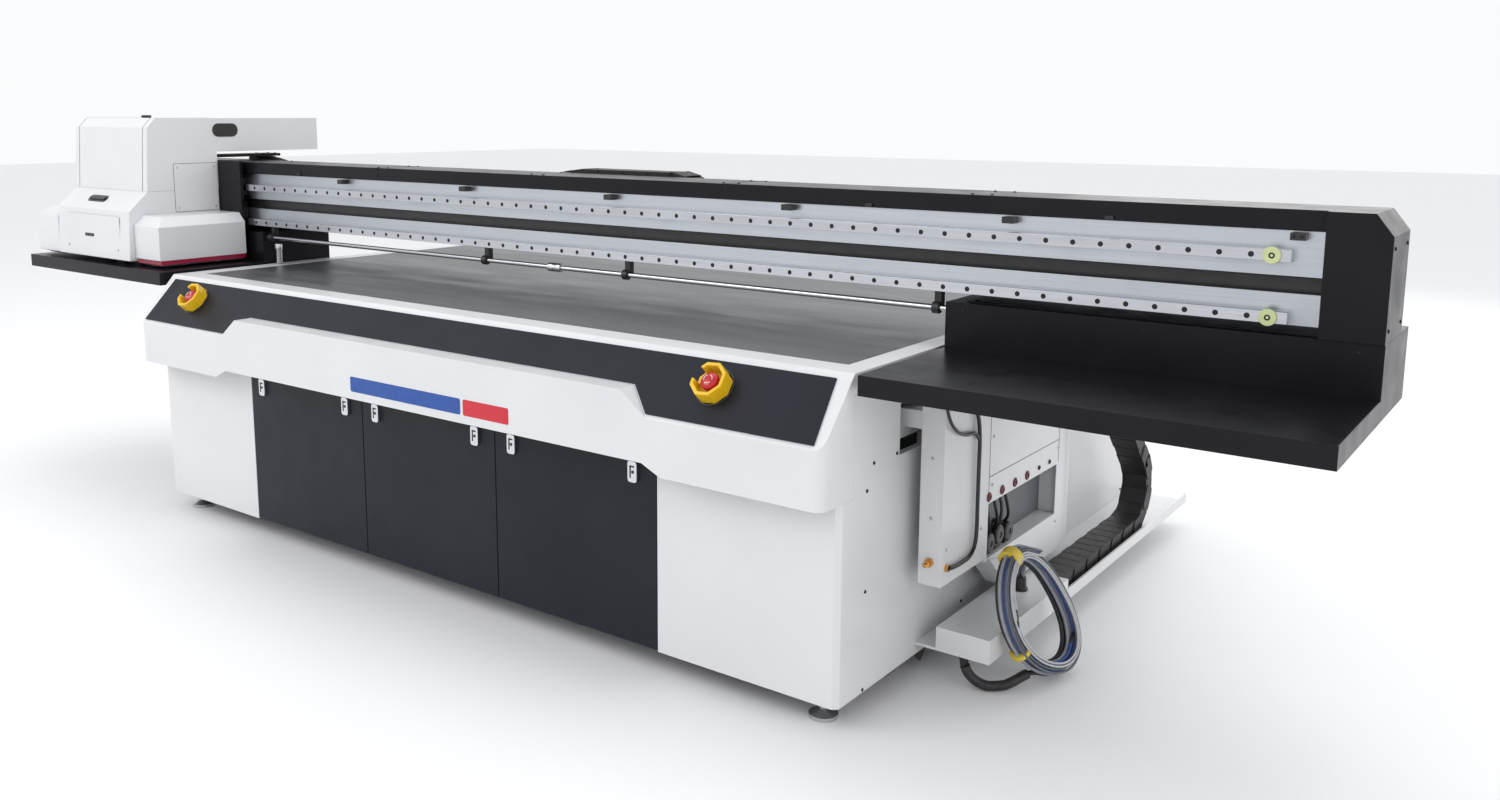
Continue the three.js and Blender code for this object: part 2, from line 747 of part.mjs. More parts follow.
// The upper hood: a block with a chamfered top edge and an arm that reaches over the beam.
function carriageCover() {
	const block = prismX([
		[BLOCK_REAR, SHOULDER + GAP],
		[BLOCK_REAR, BLOCK_TOP],
		[164, BLOCK_TOP],
		[133, 1267],
		[118, SHOULDER + GAP],
	], BLOCK_LEFT, BLOCK_RIGHT);
	const arm = box(BLOCK_RIGHT - 200, BLOCK_RIGHT, BLOCK_REAR - 1, ARM_REAR, ARM_BOTTOM, BLOCK_TOP);
	const wall = CARRIAGE_WALL;
	const hollow = prismX([
		[BLOCK_REAR - wall, SHOULDER - 5],
		[BLOCK_REAR - wall, BLOCK_TOP - wall],
		[165, BLOCK_TOP - wall],
		[136, 1266],
		[121, SHOULDER - 5],
	], BLOCK_LEFT + wall, BLOCK_RIGHT - wall);
	const duct = box(BLOCK_RIGHT - 200 + wall, BLOCK_RIGHT - wall, BLOCK_REAR - 20, ARM_REAR - wall,
		ARM_BOTTOM + wall, BLOCK_TOP - wall);
	return cut(join(block, arm), hollow, duct);
}

// The lower body: a sloping shoulder above an upright nose, open below for the heads.
function carriageNose() {
	const body = prismX([
		[BLOCK_REAR, CARRIAGE_BOTTOM],
		[BLOCK_REAR, SHOULDER],
		[118, SHOULDER],
		[49, 982],
		[40, CARRIAGE_BOTTOM],
	], BLOCK_LEFT, BLOCK_RIGHT);
	const wall = CARRIAGE_WALL;
	const hollow = prismX([
		[BLOCK_REAR - wall, CARRIAGE_BOTTOM - 5],
		[BLOCK_REAR - wall, SHOULDER + 5],
		[128, SHOULDER + 5],
		[128, SHOULDER - 5],
		[53, 979],
		[43, CARRIAGE_BOTTOM - 5],
	], BLOCK_LEFT + wall, BLOCK_RIGHT - wall);
	return cut(body, hollow);
}

// A lamp housing at the carriage's right side, chamfered along its top outer edges.
function lampHousing() {
	const inner = BLOCK_RIGHT + GAP;
	const outer = BLOCK_RIGHT + LAMP_WIDTH;
	const bottom = 821;
	const body = prismY([
		[inner, bottom],
		[outer, bottom],
		[outer, 935],
		[outer - 32, 967],
		[inner, 967],
	], 62, 388);
	const frontEdge = prismX([[55, 935], [62, 935], [94, 967], [94, 975], [55, 975]], inner - 5, outer + 5);
	const inside = box(inner + 4, outer - 4, 68, 382, bottom - 5, 932);
	return cut(body, frontEdge, inside);
}

// The left housing runs on flush from the nose, with a chamfered outer shoulder.
function leftHousing() {
	const inner = BLOCK_LEFT - GAP;
	const outer = BLOCK_LEFT - LAMP_WIDTH;
	const body = prismY([
		[inner, CARRIAGE_BOTTOM],
		[inner, 982],
		[inner - 62, 978],
		[outer + 6, 952],
		[outer, 935],
		[outer, CARRIAGE_BOTTOM],
	], 43, 388);
	const frontEdge = prismX([[30, 940], [43, 940], [62, 990], [30, 990]], outer - 5, inner + 5);
	const inside = box(outer + 4, inner - 4, 60, 382, CARRIAGE_BOTTOM - 5, 932);
	return cut(body, frontEdge, inside);
}

function printHeads() {
	const rack = box(-2020, -1610, 140, 340, 870, 890);
	const heads = [];
	for (let i = 0; i < 4; i += 1) {
		const x = -1985 + i * 100;
		heads.push(box(x, x + 60, 160, 320, 797, 871));
	}
	return join(rack, ...heads);
}

// ---------------------------------------------------------------- loose cable

// The tied loop of cable stands on the floor and leans towards the tray.
const COIL_CENTRE = new THREE.Vector3(1538, 527, 172);
const COIL_LONG = 150;
const COIL_SHORT = 105;
const COIL_THICK = 28;
const COIL_UP = new THREE.Vector3(-0.3225, -0.4453, 0.8354).normalize();

function cableCoil() {
	const ring = arc(1, 0, COIL_THICK / COIL_SHORT, 0, 315, 7);
	const round = arc(0, 0, 1, 0, 350, 35);
	const out = new THREE.Vector3().copy(X_AXIS).addScaledVector(COIL_UP, -X_AXIS.dot(COIL_UP)).normalize();
	const side = new THREE.Vector3().crossVectors(out, COIL_UP);
	const profile = ring.map(([r, z]) => new THREE.Vector2(r, z));
	profile.push(profile[0].clone());
	const geometry = new THREE.LatheGeometry(profile, round.length);
	const place = new THREE.Matrix4().makeBasis(
		COIL_UP.clone().multiplyScalar(COIL_LONG),
		out.clone().multiplyScalar(COIL_SHORT),
		side.clone().multiplyScalar(-COIL_SHORT),
	);
	place.setPosition(COIL_CENTRE);
	return geometry.applyMatrix4(place);
}

function cableLead() {
	const [x, y] = GLAND_AT;
	return tube([
		[x, y, COVER_TOP + 16.5],
		[x, y - 1, COVER_TOP + 55],
		[x + 4, y - 13, COVER_TOP + 88],
		[x + 12, y - 40, COVER_TOP + 118],
		[x + 17, y - 54, COVER_TOP + 126],
	], 12, 8, 12);
}

// ---------------------------------------------------------------- assembly

part('end_frame_right', endFrame(), FRAME_GREY);
part('end_frame_left', mirrored(endFrame()), FRAME_GREY);
part('right_cabinet', endCabinet(), WHITE);
part('left_cabinet', mirrored(endCabinet()), WHITE);
part('rear_panel', rearPanel(), WHITE);
part('fascia', fascia(), WHITE);
part('table_rim', tableRim(), WHITE);
part('print_bed', printBed(), BED_GREY);
part('vacuum_plenum', vacuumPlenum(), FRAME_GREY);
part('vacuum_blower', vacuumBlower(), BLACK);
part('y_rail_right', box(1200.3, 1224, 100, 1820, 610, 640), STEEL);
part('y_rail_left', box(-1224, -1200.3, 100, 1820, 610, 640), STEEL);
part('chain_tray', chainTray(), WHITE);
part('y_chain_lower', yChainLower(), RUBBER);

FOOT_Y.forEach((y, row) => {
	[-FOOT_X, FOOT_X].forEach((x, side) => {
		const foot = part(`levelling_foot_${row * 2 + side + 1}`, levellingFoot(), STEEL);
		foot.position.set(x, y, 0);
	});
});

part('control_strip', controlStrip(), BLACK, slopeGroup(0, 0, GAP));
STOP_X.forEach((x, i) => {
	const side = ['left', 'right'][i];
	const base = slopeGroup(x, STOP_UP, GAP + STRIP_THICK + GAP);
	part(`stop_guard_${side}`, stopGuard(), YELLOW, base);
	const button = part(`stop_button_${side}`, stopButton(), RED, base);
	button.position.z = 6;
});

for (let i = 0; i < DOOR_COUNT; i += 1) {
	part(`door_${i + 1}`, doorPanel(i), DOOR_BLACK);
	const width = (2 * DOOR_HALF) / DOOR_COUNT;
	const left = -DOOR_HALF + i * width;
	[left + LATCH_INSET, left + width - LATCH_INSET].forEach((x, side) => {
		const knob = part(`latch_${i * 2 + side + 1}`, latch(), SILVER);
		knob.position.set(x, 0, LATCH_Z);
	});
}

part('beam', beam(), SILVER);
part('beam_lid', beamLid(), BLACK);
part('lower_rail', guideRail(LOWER_RAIL), STEEL);
part('upper_rail', guideRail(UPPER_RAIL), STEEL);
part('right_end_cover', endCover(), BLACK);
part('left_end_cover', mirrored(endCover()), BLACK);
part('right_station', station(chainBracket()), BLACK);
part('left_station', mirrored(station()), BLACK);
part('right_leg', leg(), WHITE);
part('left_leg', mirrored(leg()), WHITE);
part('electrics_enclosure', electricsEnclosure(), WHITE);
part('x_motor', xMotor(), BLACK);
part('air_tube', airTube(), RUBBER);
part('x_chain_lower', xChainLower(), RUBBER);
const rod = part('crash_rod', disc(7, -STATION_INNER + GAP, STATION_INNER - GAP, 16), SILVER);
rod.rotation.y = Math.PI / 2;
rod.position.set(0, 425, 881);

part('y_chain_bend', yChainBend(), RUBBER);
part('y_chain_upper', yChainUpper(), RUBBER);
part('x_chain_bend', xChainBend(), RUBBER);
part('x_chain_upper', xChainUpper(), RUBBER);

part('carriage_plate', carriagePlate(), BLACK);
part('carriage_cover', carriageCover(), WHITE);
part('carriage_nose', carriageNose(), WHITE);
part('lamp_right', lampHousing(), WHITE);
part('lamp_left', leftHousing(), WHITE);
part('print_heads', printHeads(), STEEL);

part('cable_coil', cableCoil(), RUBBER);
part('cable_lead', cableLead(), RUBBER);

// The origin is the middle of the footprint of everything but the loose cable.
machine.updateMatrixWorld(true);
const LOOSE = ['cable_coil', 'cable_lead'];
const footprint = new THREE.Box3();
machine.traverse((node) => {
	if (node.isMesh && !LOOSE.includes(node.name)) {
		footprint.expandByObject(node, true);
	}
});
const middle = footprint.getCenter(new THREE.Vector3());
machine.position.set(-middle.x, -middle.y, 0);

export default machine;
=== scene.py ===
"""Flatbed UV printer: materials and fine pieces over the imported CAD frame.

Sizes are given in millimetres from the plane of the front doors (y = 0) and the floor
(z = 0), as they are drawn, and at() turns them into the row frame in metres.
"""

import math

import bmesh
import bpy
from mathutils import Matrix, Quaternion, Vector


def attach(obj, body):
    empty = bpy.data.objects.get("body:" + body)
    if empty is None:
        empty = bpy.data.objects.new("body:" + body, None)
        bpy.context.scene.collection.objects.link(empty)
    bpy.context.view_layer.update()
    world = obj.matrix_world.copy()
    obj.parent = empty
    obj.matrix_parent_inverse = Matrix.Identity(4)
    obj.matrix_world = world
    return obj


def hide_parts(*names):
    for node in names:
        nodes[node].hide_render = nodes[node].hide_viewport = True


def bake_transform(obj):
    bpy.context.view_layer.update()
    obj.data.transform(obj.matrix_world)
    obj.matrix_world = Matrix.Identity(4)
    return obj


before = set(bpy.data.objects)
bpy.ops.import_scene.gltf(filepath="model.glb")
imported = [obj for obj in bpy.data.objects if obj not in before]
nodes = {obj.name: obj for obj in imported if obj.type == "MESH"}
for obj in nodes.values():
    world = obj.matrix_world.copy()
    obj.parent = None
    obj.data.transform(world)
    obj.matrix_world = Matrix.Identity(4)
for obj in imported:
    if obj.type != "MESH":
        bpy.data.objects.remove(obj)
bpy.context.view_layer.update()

# ------------------------------------------------------------------ dimensions

DOOR_PLANE = -891.5      # the door plane's place along the row frame's Y axis

BASE_HALF = 1310
BASE_REAR = 1858
FOOT_X = 1240
FOOT_Y = (62, 1792)
DOOR_HALF = 814
DOOR_WIDTH = 2 * DOOR_HALF / 3
DOOR_BACK = 18.2

STATION_INNER = 1336
STATION_OUTER = 2236
HOUSING_TOP = 900

BEAM_HALF = 2120
RAIL_FRONT = 408
LOWER_RAIL = 933
UPPER_RAIL = 1055
RAIL_BOLT_PITCH = 60
RAIL_BOLT_COUNT = 67
RAIL_BOLT_FIRST = 1988
RAIL_STOP_X = 2027

LEG_OUTER = 1400
FLUID_Y = (544, 620, 697, 773)
FLUID_Z = 413

BLOCK_LEFT = -2063
BLOCK_RIGHT = -1567
LAMP_WIDTH = 157
LAMP_RIGHT = -1410
BLOCK_TOP = 1300
LATCH_Z = 489
LATCH_INSET = 68
KEYHOLE_DEPTH = (-10.7, -9.6)
STOP_X = {"left": -1078, "right": 990}
STOP_UP = 104
LID_TOP = 1145
SHOULDER = 1047

FASCIA_FRONT = -75
FASCIA_EDGE = 645
RIM_FRONT = 51
RIM_TOP = 788
ACCENT_Z = (562, 604)

CHAIN_PITCH = 48
Y_TRAVEL = 1100
X_TRAVEL = 3450
Y_CHAIN = {"centre": 1445, "width": 80, "height": 50, "radius": 110, "low": 113.5}
Y_CHAIN_FIXED = 832.3
Y_CHAIN_CENTRE = 1410
Y_CHAIN_HIGH = 695
Y_CHAIN_MOVING = 612
X_CHAIN = {"centre": 650, "width": 80, "height": 40, "radius": 102, "low": 932.5}
X_CHAIN_FIXED = -1365
X_CHAIN_CENTRE = 365
X_CHAIN_MOVING = -1705

CAMERA_PLACE = (2590.9, -2148.9, 1324.7)
CAMERA_YAW = 36.596
CAMERA_PITCH = -8.974
CAMERA_ROLL = 0.187
CAMERA_LENS = 29.7
CAMERA_SHIFT = (0.0201, -0.0612)

LEFT = Vector((-1, 0, 0))
RIGHT = Vector((1, 0, 0))
FRONT = Vector((0, -1, 0))
BACK = Vector((0, 1, 0))
UP = Vector((0, 0, 1))
DOWN = Vector((0, 0, -1))


def at(x, y, z):
    """A point of the row frame in metres from drawn millimetres."""
    return Vector((x, y + DOOR_PLANE, z)) / 1000


# ------------------------------------------------------------------ mesh helpers


def solid_box(bm, x, y, z):
    """A box from (low, high) pairs."""
    corners = [bm.verts.new(at(x[i], y[j], z[k])) for i in (0, 1) for j in (0, 1) for k in (0, 1)]
    for a, b, c, d in ((0, 1, 3, 2), (4, 6, 7, 5), (0, 4, 5, 1), (2, 3, 7, 6), (0, 2, 6, 4), (1, 5, 7, 3)):
        bm.faces.new([corners[a], corners[b], corners[c], corners[d]])


def solid_prism(bm, loop, shift):
    """A closed loop of points pushed along a vector, capped at both ends."""
    first = [bm.verts.new(p) for p in loop]
    second = [bm.verts.new(p + shift) for p in loop]
    count = len(loop)
    for i in range(count):
        j = (i + 1) % count
        bm.faces.new([first[i], first[j], second[j], second[i]])
    bm.faces.new(list(reversed(first)))
    bm.faces.new(second)


def basis(axis):
    """The axis as a unit vector, with two more at right angles to it."""
    axis = Vector(axis).normalized()
    helper = Vector((0, 0, 1)) if abs(axis.z) < 0.9 else Vector((1, 0, 0))
    side = axis.cross(helper).normalized()
    return axis, side, axis.cross(side)


def skin(bm, rings, sides):
    """Faces between rings of vertices, from each ring to the next."""
    for low, high in zip(rings, rings[1:]):
        for i in range(sides):
            j = (i + 1) % sides
            bm.faces.new([low[i], low[j], high[j], high[i]])


def solid_turned(bm, base, axis, profile, sides=20, hollow=False):
    """A turned shape from (radius, height) pairs in millimetres; a hollow one has no end caps."""
    axis, side, up = basis(axis)
    rings = []
    for radius, height in profile:
        ring = []
        for i in range(sides):
            angle = 2 * math.pi * i / sides
            around = side * math.cos(angle) + up * math.sin(angle)
            ring.append(bm.verts.new(base + (around * radius + axis * height) / 1000))
        rings.append(ring)
    if hollow:
        rings.append(rings[0])
    skin(bm, rings, sides)
    if not hollow:
        bm.faces.new(list(reversed(rings[0])))
        bm.faces.new(rings[-1])


def turned_row(bm, points, axis, profile, sides):
    """The same turned shape at each of the points."""
    for point in points:
        solid_turned(bm, point, axis, profile, sides)


def rounded_loop(width, height, radius):
    """A rectangle with round corners, as (a, b) pairs about its middle."""
    steps = 4
    loop = []
    for quarter, (sa, sb) in enumerate(((1, 1), (-1, 1), (-1, -1), (1, -1))):
        for i in range(steps + 1):
            angle = math.pi / 2 * (quarter + i / steps)
            loop.append((sa * (width / 2 - radius) + radius * math.cos(angle),
                         sb * (height / 2 - radius) + radius * math.sin(angle)))
    return loop


def solid_plate(bm, centre, normal, up, width, height, radius, depth):
    """A round-cornered plate that stands out of a surface by its depth in millimetres."""
    normal = Vector(normal).normalized()
    up = Vector(up).normalized()
    side = up.cross(normal)
    loop = [centre + (side * a + up * b) / 1000 for a, b in rounded_loop(width, height, radius)]
    solid_prism(bm, loop, normal * depth / 1000)


def solid_tube(bm, points, radius, sides):
    """A round tube along a list of points in the row frame, its radius in millimetres."""
    side = None
    rings = []
    for i, point in enumerate(points):
        ahead = points[min(i + 1, len(points) - 1)] - points[max(i - 1, 0)]
        ahead.normalize()
        side = basis(ahead)[1] if side is None else (side - ahead * side.dot(ahead)).normalized()
        up = ahead.cross(side)
        ring = []
        for k in range(sides):
            angle = 2 * math.pi * k / sides
            around = side * math.cos(angle) + up * math.sin(angle)
            ring.append(bm.verts.new(point + around * radius / 1000))
        rings.append(ring)
    skin(bm, rings, sides)
    bm.faces.new(list(reversed(rings[0])))
    bm.faces.new(rings[-1])


def smooth_path(points, steps):
    """A Catmull-Rom curve through the points, with so many steps from one to the next."""
    line = [points[0] * 2 - points[1], *points, points[-1] * 2 - points[-2]]
    out = []
    for i in range(1, len(line) - 2):
        a, b, c, d = line[i - 1:i + 3]
        for s in range(steps):
            t = s / steps
            out.append(0.5 * (2 * b + (c - a) * t + (2 * a - 5 * b + 4 * c - d) * t * t
                              + (3 * b - a - 3 * c + d) * t ** 3))
    out.append(points[-1].copy())
    return out


def soften(obj, width):
    """Rounds the sharp edges of a piece by a width in millimetres and shades its faces evenly."""
    mesh = obj.data
    if "custom_normal" in mesh.attributes:
        mesh.attributes.remove(mesh.attributes["custom_normal"])
    mesh.polygons.foreach_set("use_smooth", [True] * len(mesh.polygons))
    weld = obj.modifiers.new("weld", "WELD")
    weld.merge_threshold = 1e-5
    if width:
        bevel = obj.modifiers.new("edges", "BEVEL")
        bevel.width = width / 1000
        bevel.segments = 2
        bevel.limit_method = "ANGLE"
        bevel.angle_limit = math.radians(28)
    normals = obj.modifiers.new("normals", "WEIGHTED_NORMAL")
    normals.weight = 80


def make(name, bm, surface, body, edge):
    """A finished piece with softened edges. It rides on its body, or on none yet if body is None."""
    bmesh.ops.recalc_face_normals(bm, faces=bm.faces)
    mesh = bpy.data.meshes.new(name)
    bm.to_mesh(mesh)
    bm.free()
    obj = bpy.data.objects.new(name, mesh)
    bpy.context.scene.collection.objects.link(obj)
    mesh.materials.append(surface.material)
    soften(obj, edge)
    if body:
        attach(obj, body)
    return obj


# ------------------------------------------------------------------ materials


class Surface:
    """A principled material with helpers that link procedural detail to it."""

    def __init__(self, name, color, roughness, metallic=0.0):
        self.material = bpy.data.materials.new(name)
        self.material.use_nodes = True
        self.tree = self.material.node_tree
        self.shader = self.tree.nodes["Principled BSDF"]
        self.shader.inputs["Base Color"].default_value = (*color, 1)
        self.shader.inputs["Roughness"].default_value = roughness
        self.shader.inputs["Metallic"].default_value = metallic
        self.color = color
        self.roughness = roughness
        self.place = self.tree.nodes.new("ShaderNodeTexCoord").outputs["Object"]
        self.bump = None

    def link(self, a, b):
        self.tree.links.new(a, b)

    def stretched(self, scale):
        mapping = self.tree.nodes.new("ShaderNodeMapping")
        mapping.inputs["Scale"].default_value = scale
        self.link(self.place, mapping.inputs["Vector"])
        return mapping.outputs["Vector"]

    def noise(self, scale, detail=3.0, vector=None, rough=0.5):
        node = self.tree.nodes.new("ShaderNodeTexNoise")
        node.inputs["Scale"].default_value = scale
        node.inputs["Detail"].default_value = detail
        node.inputs["Roughness"].default_value = rough
        self.link(vector or self.place, node.inputs["Vector"])
        return node.outputs["Fac"]

    def spread(self, factor, low, high, start=0.3, end=0.7):
        node = self.tree.nodes.new("ShaderNodeMapRange")
        node.inputs["From Min"].default_value = start
        node.inputs["From Max"].default_value = end
        node.inputs["To Min"].default_value = low
        node.inputs["To Max"].default_value = high
        self.link(factor, node.inputs["Value"])
        return node.outputs["Result"]

    def mix(self, factor, first, second):
        node = self.tree.nodes.new("ShaderNodeMix")
        node.data_type = "RGBA"
        self.link(factor, node.inputs["Factor"])
        for socket, value in ((node.inputs["A"], first), (node.inputs["B"], second)):
            if isinstance(value, tuple):
                socket.default_value = (*value, 1)
            else:
                self.link(value, socket)
        return node.outputs["Result"]

    def calculate(self, operation, a, b=None):
        node = self.tree.nodes.new("ShaderNodeMath")
        node.operation = operation
        for socket, value in zip(node.inputs, (a, b)):
            if value is None:
                continue
            if isinstance(value, (int, float)):
                socket.default_value = value
            else:
                self.link(value, socket)
        return node.outputs[0]

    def vary_color(self, factor, second):
        self.link(self.mix(factor, self.color, second), self.shader.inputs["Base Color"])

    def vary_roughness(self, factor, spread):
        low = self.roughness - spread
        high = self.roughness + spread
        self.link(self.spread(factor, low, high), self.shader.inputs["Roughness"])

    def raise_by(self, height, depth):
        """Adds a bump whose height runs from 0 to depth, in millimetres."""
        node = self.tree.nodes.new("ShaderNodeBump")
        node.inputs["Strength"].default_value = 1.0
        node.inputs["Distance"].default_value = depth / 1000
        self.link(height, node.inputs["Height"])
        if self.bump:
            self.link(self.bump, node.inputs["Normal"])
        self.bump = node.outputs["Normal"]
        self.link(self.bump, self.shader.inputs["Normal"])


def powder_coat(name, color, second, roughness, grain, depth, coat=0.0, shine=0.5):
    """Powder coat: an even colour with a faint cloud in it and a fine orange-peel skin."""
    made = Surface(name, color, roughness)
    made.vary_color(made.spread(made.noise(3.2, 4), 0, 1, 0.35, 0.7), second)
    made.vary_roughness(made.noise(14, 4), 0.05)
    made.raise_by(made.noise(grain, 2, rough=0.4), depth)
    made.shader.inputs["Specular IOR Level"].default_value = shine
    made.shader.inputs["Coat Weight"].default_value = coat
    made.shader.inputs["Coat Roughness"].default_value = 0.25
    return made


def brushed(name, color, second, roughness, along):
    """Metal with fine parallel lines; along holds the noise stretch for each axis."""
    made = Surface(name, color, roughness, 1.0)
    lines = made.noise(1.0, 4, made.stretched(along))
    made.vary_color(made.spread(lines, 0, 1), second)
    made.vary_roughness(made.noise(9, 4), 0.07)
    made.raise_by(lines, 0.012)
    return made


def moulded(name, color, second, roughness):
    """Moulded plastic with a fine grain."""
    made = Surface(name, color, roughness)
    made.vary_color(made.spread(made.noise(30, 3), 0, 1), second)
    made.vary_roughness(made.noise(60, 3), 0.06)
    made.raise_by(made.noise(900, 2), 0.02)
    return made


def bed_surface():
    """Dark anodised plate, drilled with a grid of suction holes painted near black as shade, and lightly
    scuffed.
    """
    made = Surface("bed_anodised", (0.105, 0.11, 0.115), 0.42, 0.55)
    parts = made.tree.nodes.new("ShaderNodeSeparateXYZ")
    made.link(made.place, parts.inputs[0])
    pitch = 0.025
    squares = []
    for axis in ("X", "Y"):
        cell = made.calculate("DIVIDE", parts.outputs[axis], pitch)
        offset = made.calculate("SUBTRACT", made.calculate("FRACT", cell), 0.5)
        squares.append(made.calculate("MULTIPLY", offset, offset))
    far = made.calculate("SQRT", made.calculate("ADD", *squares))
    hole_with_painted_shade = made.spread(far, 1, 0, 0.055, 0.07)
    scuff = made.noise(1.0, 5, made.stretched((3, 14, 3)))
    cloud = made.mix(made.spread(scuff, 0, 1), made.color, (0.15, 0.155, 0.16))
    # The holes are painted near black: painted shade for their depth, over the scuffed cloud.
    made.link(made.mix(hole_with_painted_shade, cloud, (0.004, 0.004, 0.004)), made.shader.inputs["Base Color"])
    made.vary_roughness(scuff, 0.08)
    made.raise_by(made.calculate("SUBTRACT", 1.0, hole_with_painted_shade), 0.8)
    made.raise_by(made.noise(700, 2), 0.01)
    return made


def jacket(name, color, second, roughness=0.5):
    """Cable jacket: faint dust and a slightly uneven skin."""
    made = Surface(name, color, roughness)
    made.vary_color(made.spread(made.noise(70, 4), 0, 1, 0.45, 0.8), second)
    made.vary_roughness(made.noise(120, 3), 0.08)
    made.raise_by(made.noise(380, 2), 0.06)
    return made


def clear_glass():
    """The clear window under each lamp."""
    made = Surface("lamp_glass", (0.75, 0.8, 0.9), 0.05)
    made.shader.inputs["Transmission Weight"].default_value = 0.85
    made.vary_roughness(made.noise(40, 3), 0.03)
    return made


WHITE = powder_coat("white_powder_coat", (0.7, 0.705, 0.72), (0.665, 0.67, 0.69), 0.34, 520, 0.035, 0.25)
BLACK = powder_coat("black_powder_coat", (0.005, 0.005, 0.0075), (0.008, 0.008, 0.011), 0.32, 760, 0.05,
                    0.0, 0.2)
STRIP = powder_coat("strip_black", (0.006, 0.007, 0.013), (0.01, 0.011, 0.019), 0.4, 420, 0.06, 0.0, 0.22)
DOOR = powder_coat("door_satin", (0.008, 0.0095, 0.0155), (0.012, 0.0135, 0.02), 0.42, 640, 0.05, 0.0, 0.22)
FRAME = powder_coat("frame_grey", (0.16, 0.17, 0.18), (0.12, 0.13, 0.14), 0.55, 300, 0.08)
BED = bed_surface()
BEAM = brushed("beam_anodised", (0.56, 0.58, 0.62), (0.49, 0.51, 0.55), 0.34, (4, 900, 900))
RAIL = brushed("rail_ground", (0.62, 0.63, 0.66), (0.5, 0.51, 0.54), 0.2, (6, 1200, 1200))
ZINC = brushed("zinc_plate", (0.56, 0.57, 0.58), (0.46, 0.47, 0.47), 0.36, (160, 160, 30))
CHROME = brushed("satin_chrome", (0.68, 0.69, 0.71), (0.6, 0.61, 0.63), 0.2, (500, 500, 60))
BOLT = brushed("black_oxide", (0.045, 0.045, 0.05), (0.03, 0.03, 0.032), 0.35, (400, 400, 400))
BRASS = brushed("brass", (0.72, 0.4, 0.12), (0.6, 0.3, 0.08), 0.25, (300, 300, 300))
CASTING = powder_coat("cast_black", (0.02, 0.02, 0.022), (0.03, 0.03, 0.032), 0.5, 240, 0.15)
CHAIN = moulded("chain_nylon", (0.006, 0.006, 0.007), (0.011, 0.011, 0.012), 0.5)
YELLOW = moulded("yellow_gloss", (0.8, 0.5, 0.012), (0.72, 0.43, 0.01), 0.28)
RED = moulded("red_gloss", (0.5, 0.006, 0.02), (0.42, 0.004, 0.014), 0.24)
WHITE_INK = moulded("white_mark", (0.8, 0.8, 0.8), (0.72, 0.72, 0.72), 0.4)
CRIMSON = moulded("crimson_filter", (0.36, 0.006, 0.045), (0.28, 0.005, 0.035), 0.2)
BURGUNDY = moulded("burgundy_connector", (0.16, 0.006, 0.016), (0.11, 0.005, 0.012), 0.35)
NYLON = moulded("pale_nylon", (0.62, 0.7, 0.36), (0.54, 0.62, 0.3), 0.35)
BLACK_PLASTIC = moulded("black_plastic", (0.012, 0.012, 0.013), (0.02, 0.02, 0.02), 0.35)
RED_ACCENT = moulded("red_accent", (0.6, 0.012, 0.03), (0.54, 0.01, 0.025), 0.35)
BLUE_ACCENT = moulded("blue_accent", (0.006, 0.07, 0.35), (0.005, 0.06, 0.3), 0.35)
CABLE_BLACK = jacket("cable_black", (0.013, 0.013, 0.015), (0.03, 0.03, 0.032))
CABLE_GREY = jacket("cable_grey", (0.3, 0.31, 0.35), (0.24, 0.25, 0.29))
CABLE_PALE = jacket("cable_pale", (0.5, 0.51, 0.53), (0.4, 0.41, 0.43))
CABLE_BLUE = jacket("cable_blue", (0.03, 0.075, 0.3), (0.05, 0.1, 0.33))
CABLE_SLATE = jacket("cable_slate", (0.11, 0.12, 0.14), (0.16, 0.17, 0.19))
TAPE = jacket("yellow_tape", (0.75, 0.55, 0.05), (0.66, 0.47, 0.04), 0.4)
GLASS = clear_glass()

NODE_LOOKS = [
    (WHITE, 1.6, ["left_cabinet", "right_cabinet", "rear_panel", "fascia", "table_rim", "left_leg",
                  "right_leg", "electrics_enclosure"]),
    (WHITE, 1.0, ["chain_tray"]),
    (WHITE, 2.4, ["carriage_cover", "carriage_nose", "lamp_left", "lamp_right"]),
    (BLACK, 1.2, ["left_station", "right_station", "left_end_cover", "right_end_cover", "beam_lid",
                  "carriage_plate"]),
    (STRIP, 0.8, ["control_strip"]),
    (DOOR, 1.0, ["door_1", "door_2", "door_3"]),
    (FRAME, 1.5, ["end_frame_left", "end_frame_right", "vacuum_plenum"]),
    (BED, 0.8, ["print_bed"]),
    (BEAM, 0.8, ["beam", "print_heads"]),
    (RAIL, 0.5, ["upper_rail", "lower_rail", "y_rail_left", "y_rail_right", "crash_rod"]),
    (ZINC, 0.6, [f"levelling_foot_{i}" for i in range(1, 5)]),
    (CHROME, 0.8, [f"latch_{i}" for i in range(1, 7)]),
    (YELLOW, 2.0, ["stop_guard_left", "stop_guard_right"]),
    (RED, 1.0, ["stop_button_left", "stop_button_right"]),
    (CASTING, 2.0, ["vacuum_blower", "x_motor"]),
    (BLACK_PLASTIC, 0.0, ["air_tube"]),
]


def dress_nodes():
    """Gives every plain CAD node its finish and its edge width in millimetres."""
    for surface, edge, names in NODE_LOOKS:
        for name in names:
            obj = nodes[name]
            if obj.material_slots:
                for holder in obj.material_slots:
                    holder.material = surface.material
            else:
                obj.data.materials.append(surface.material)
            soften(obj, edge)


# ------------------------------------------------------------------ camera, lights, floor


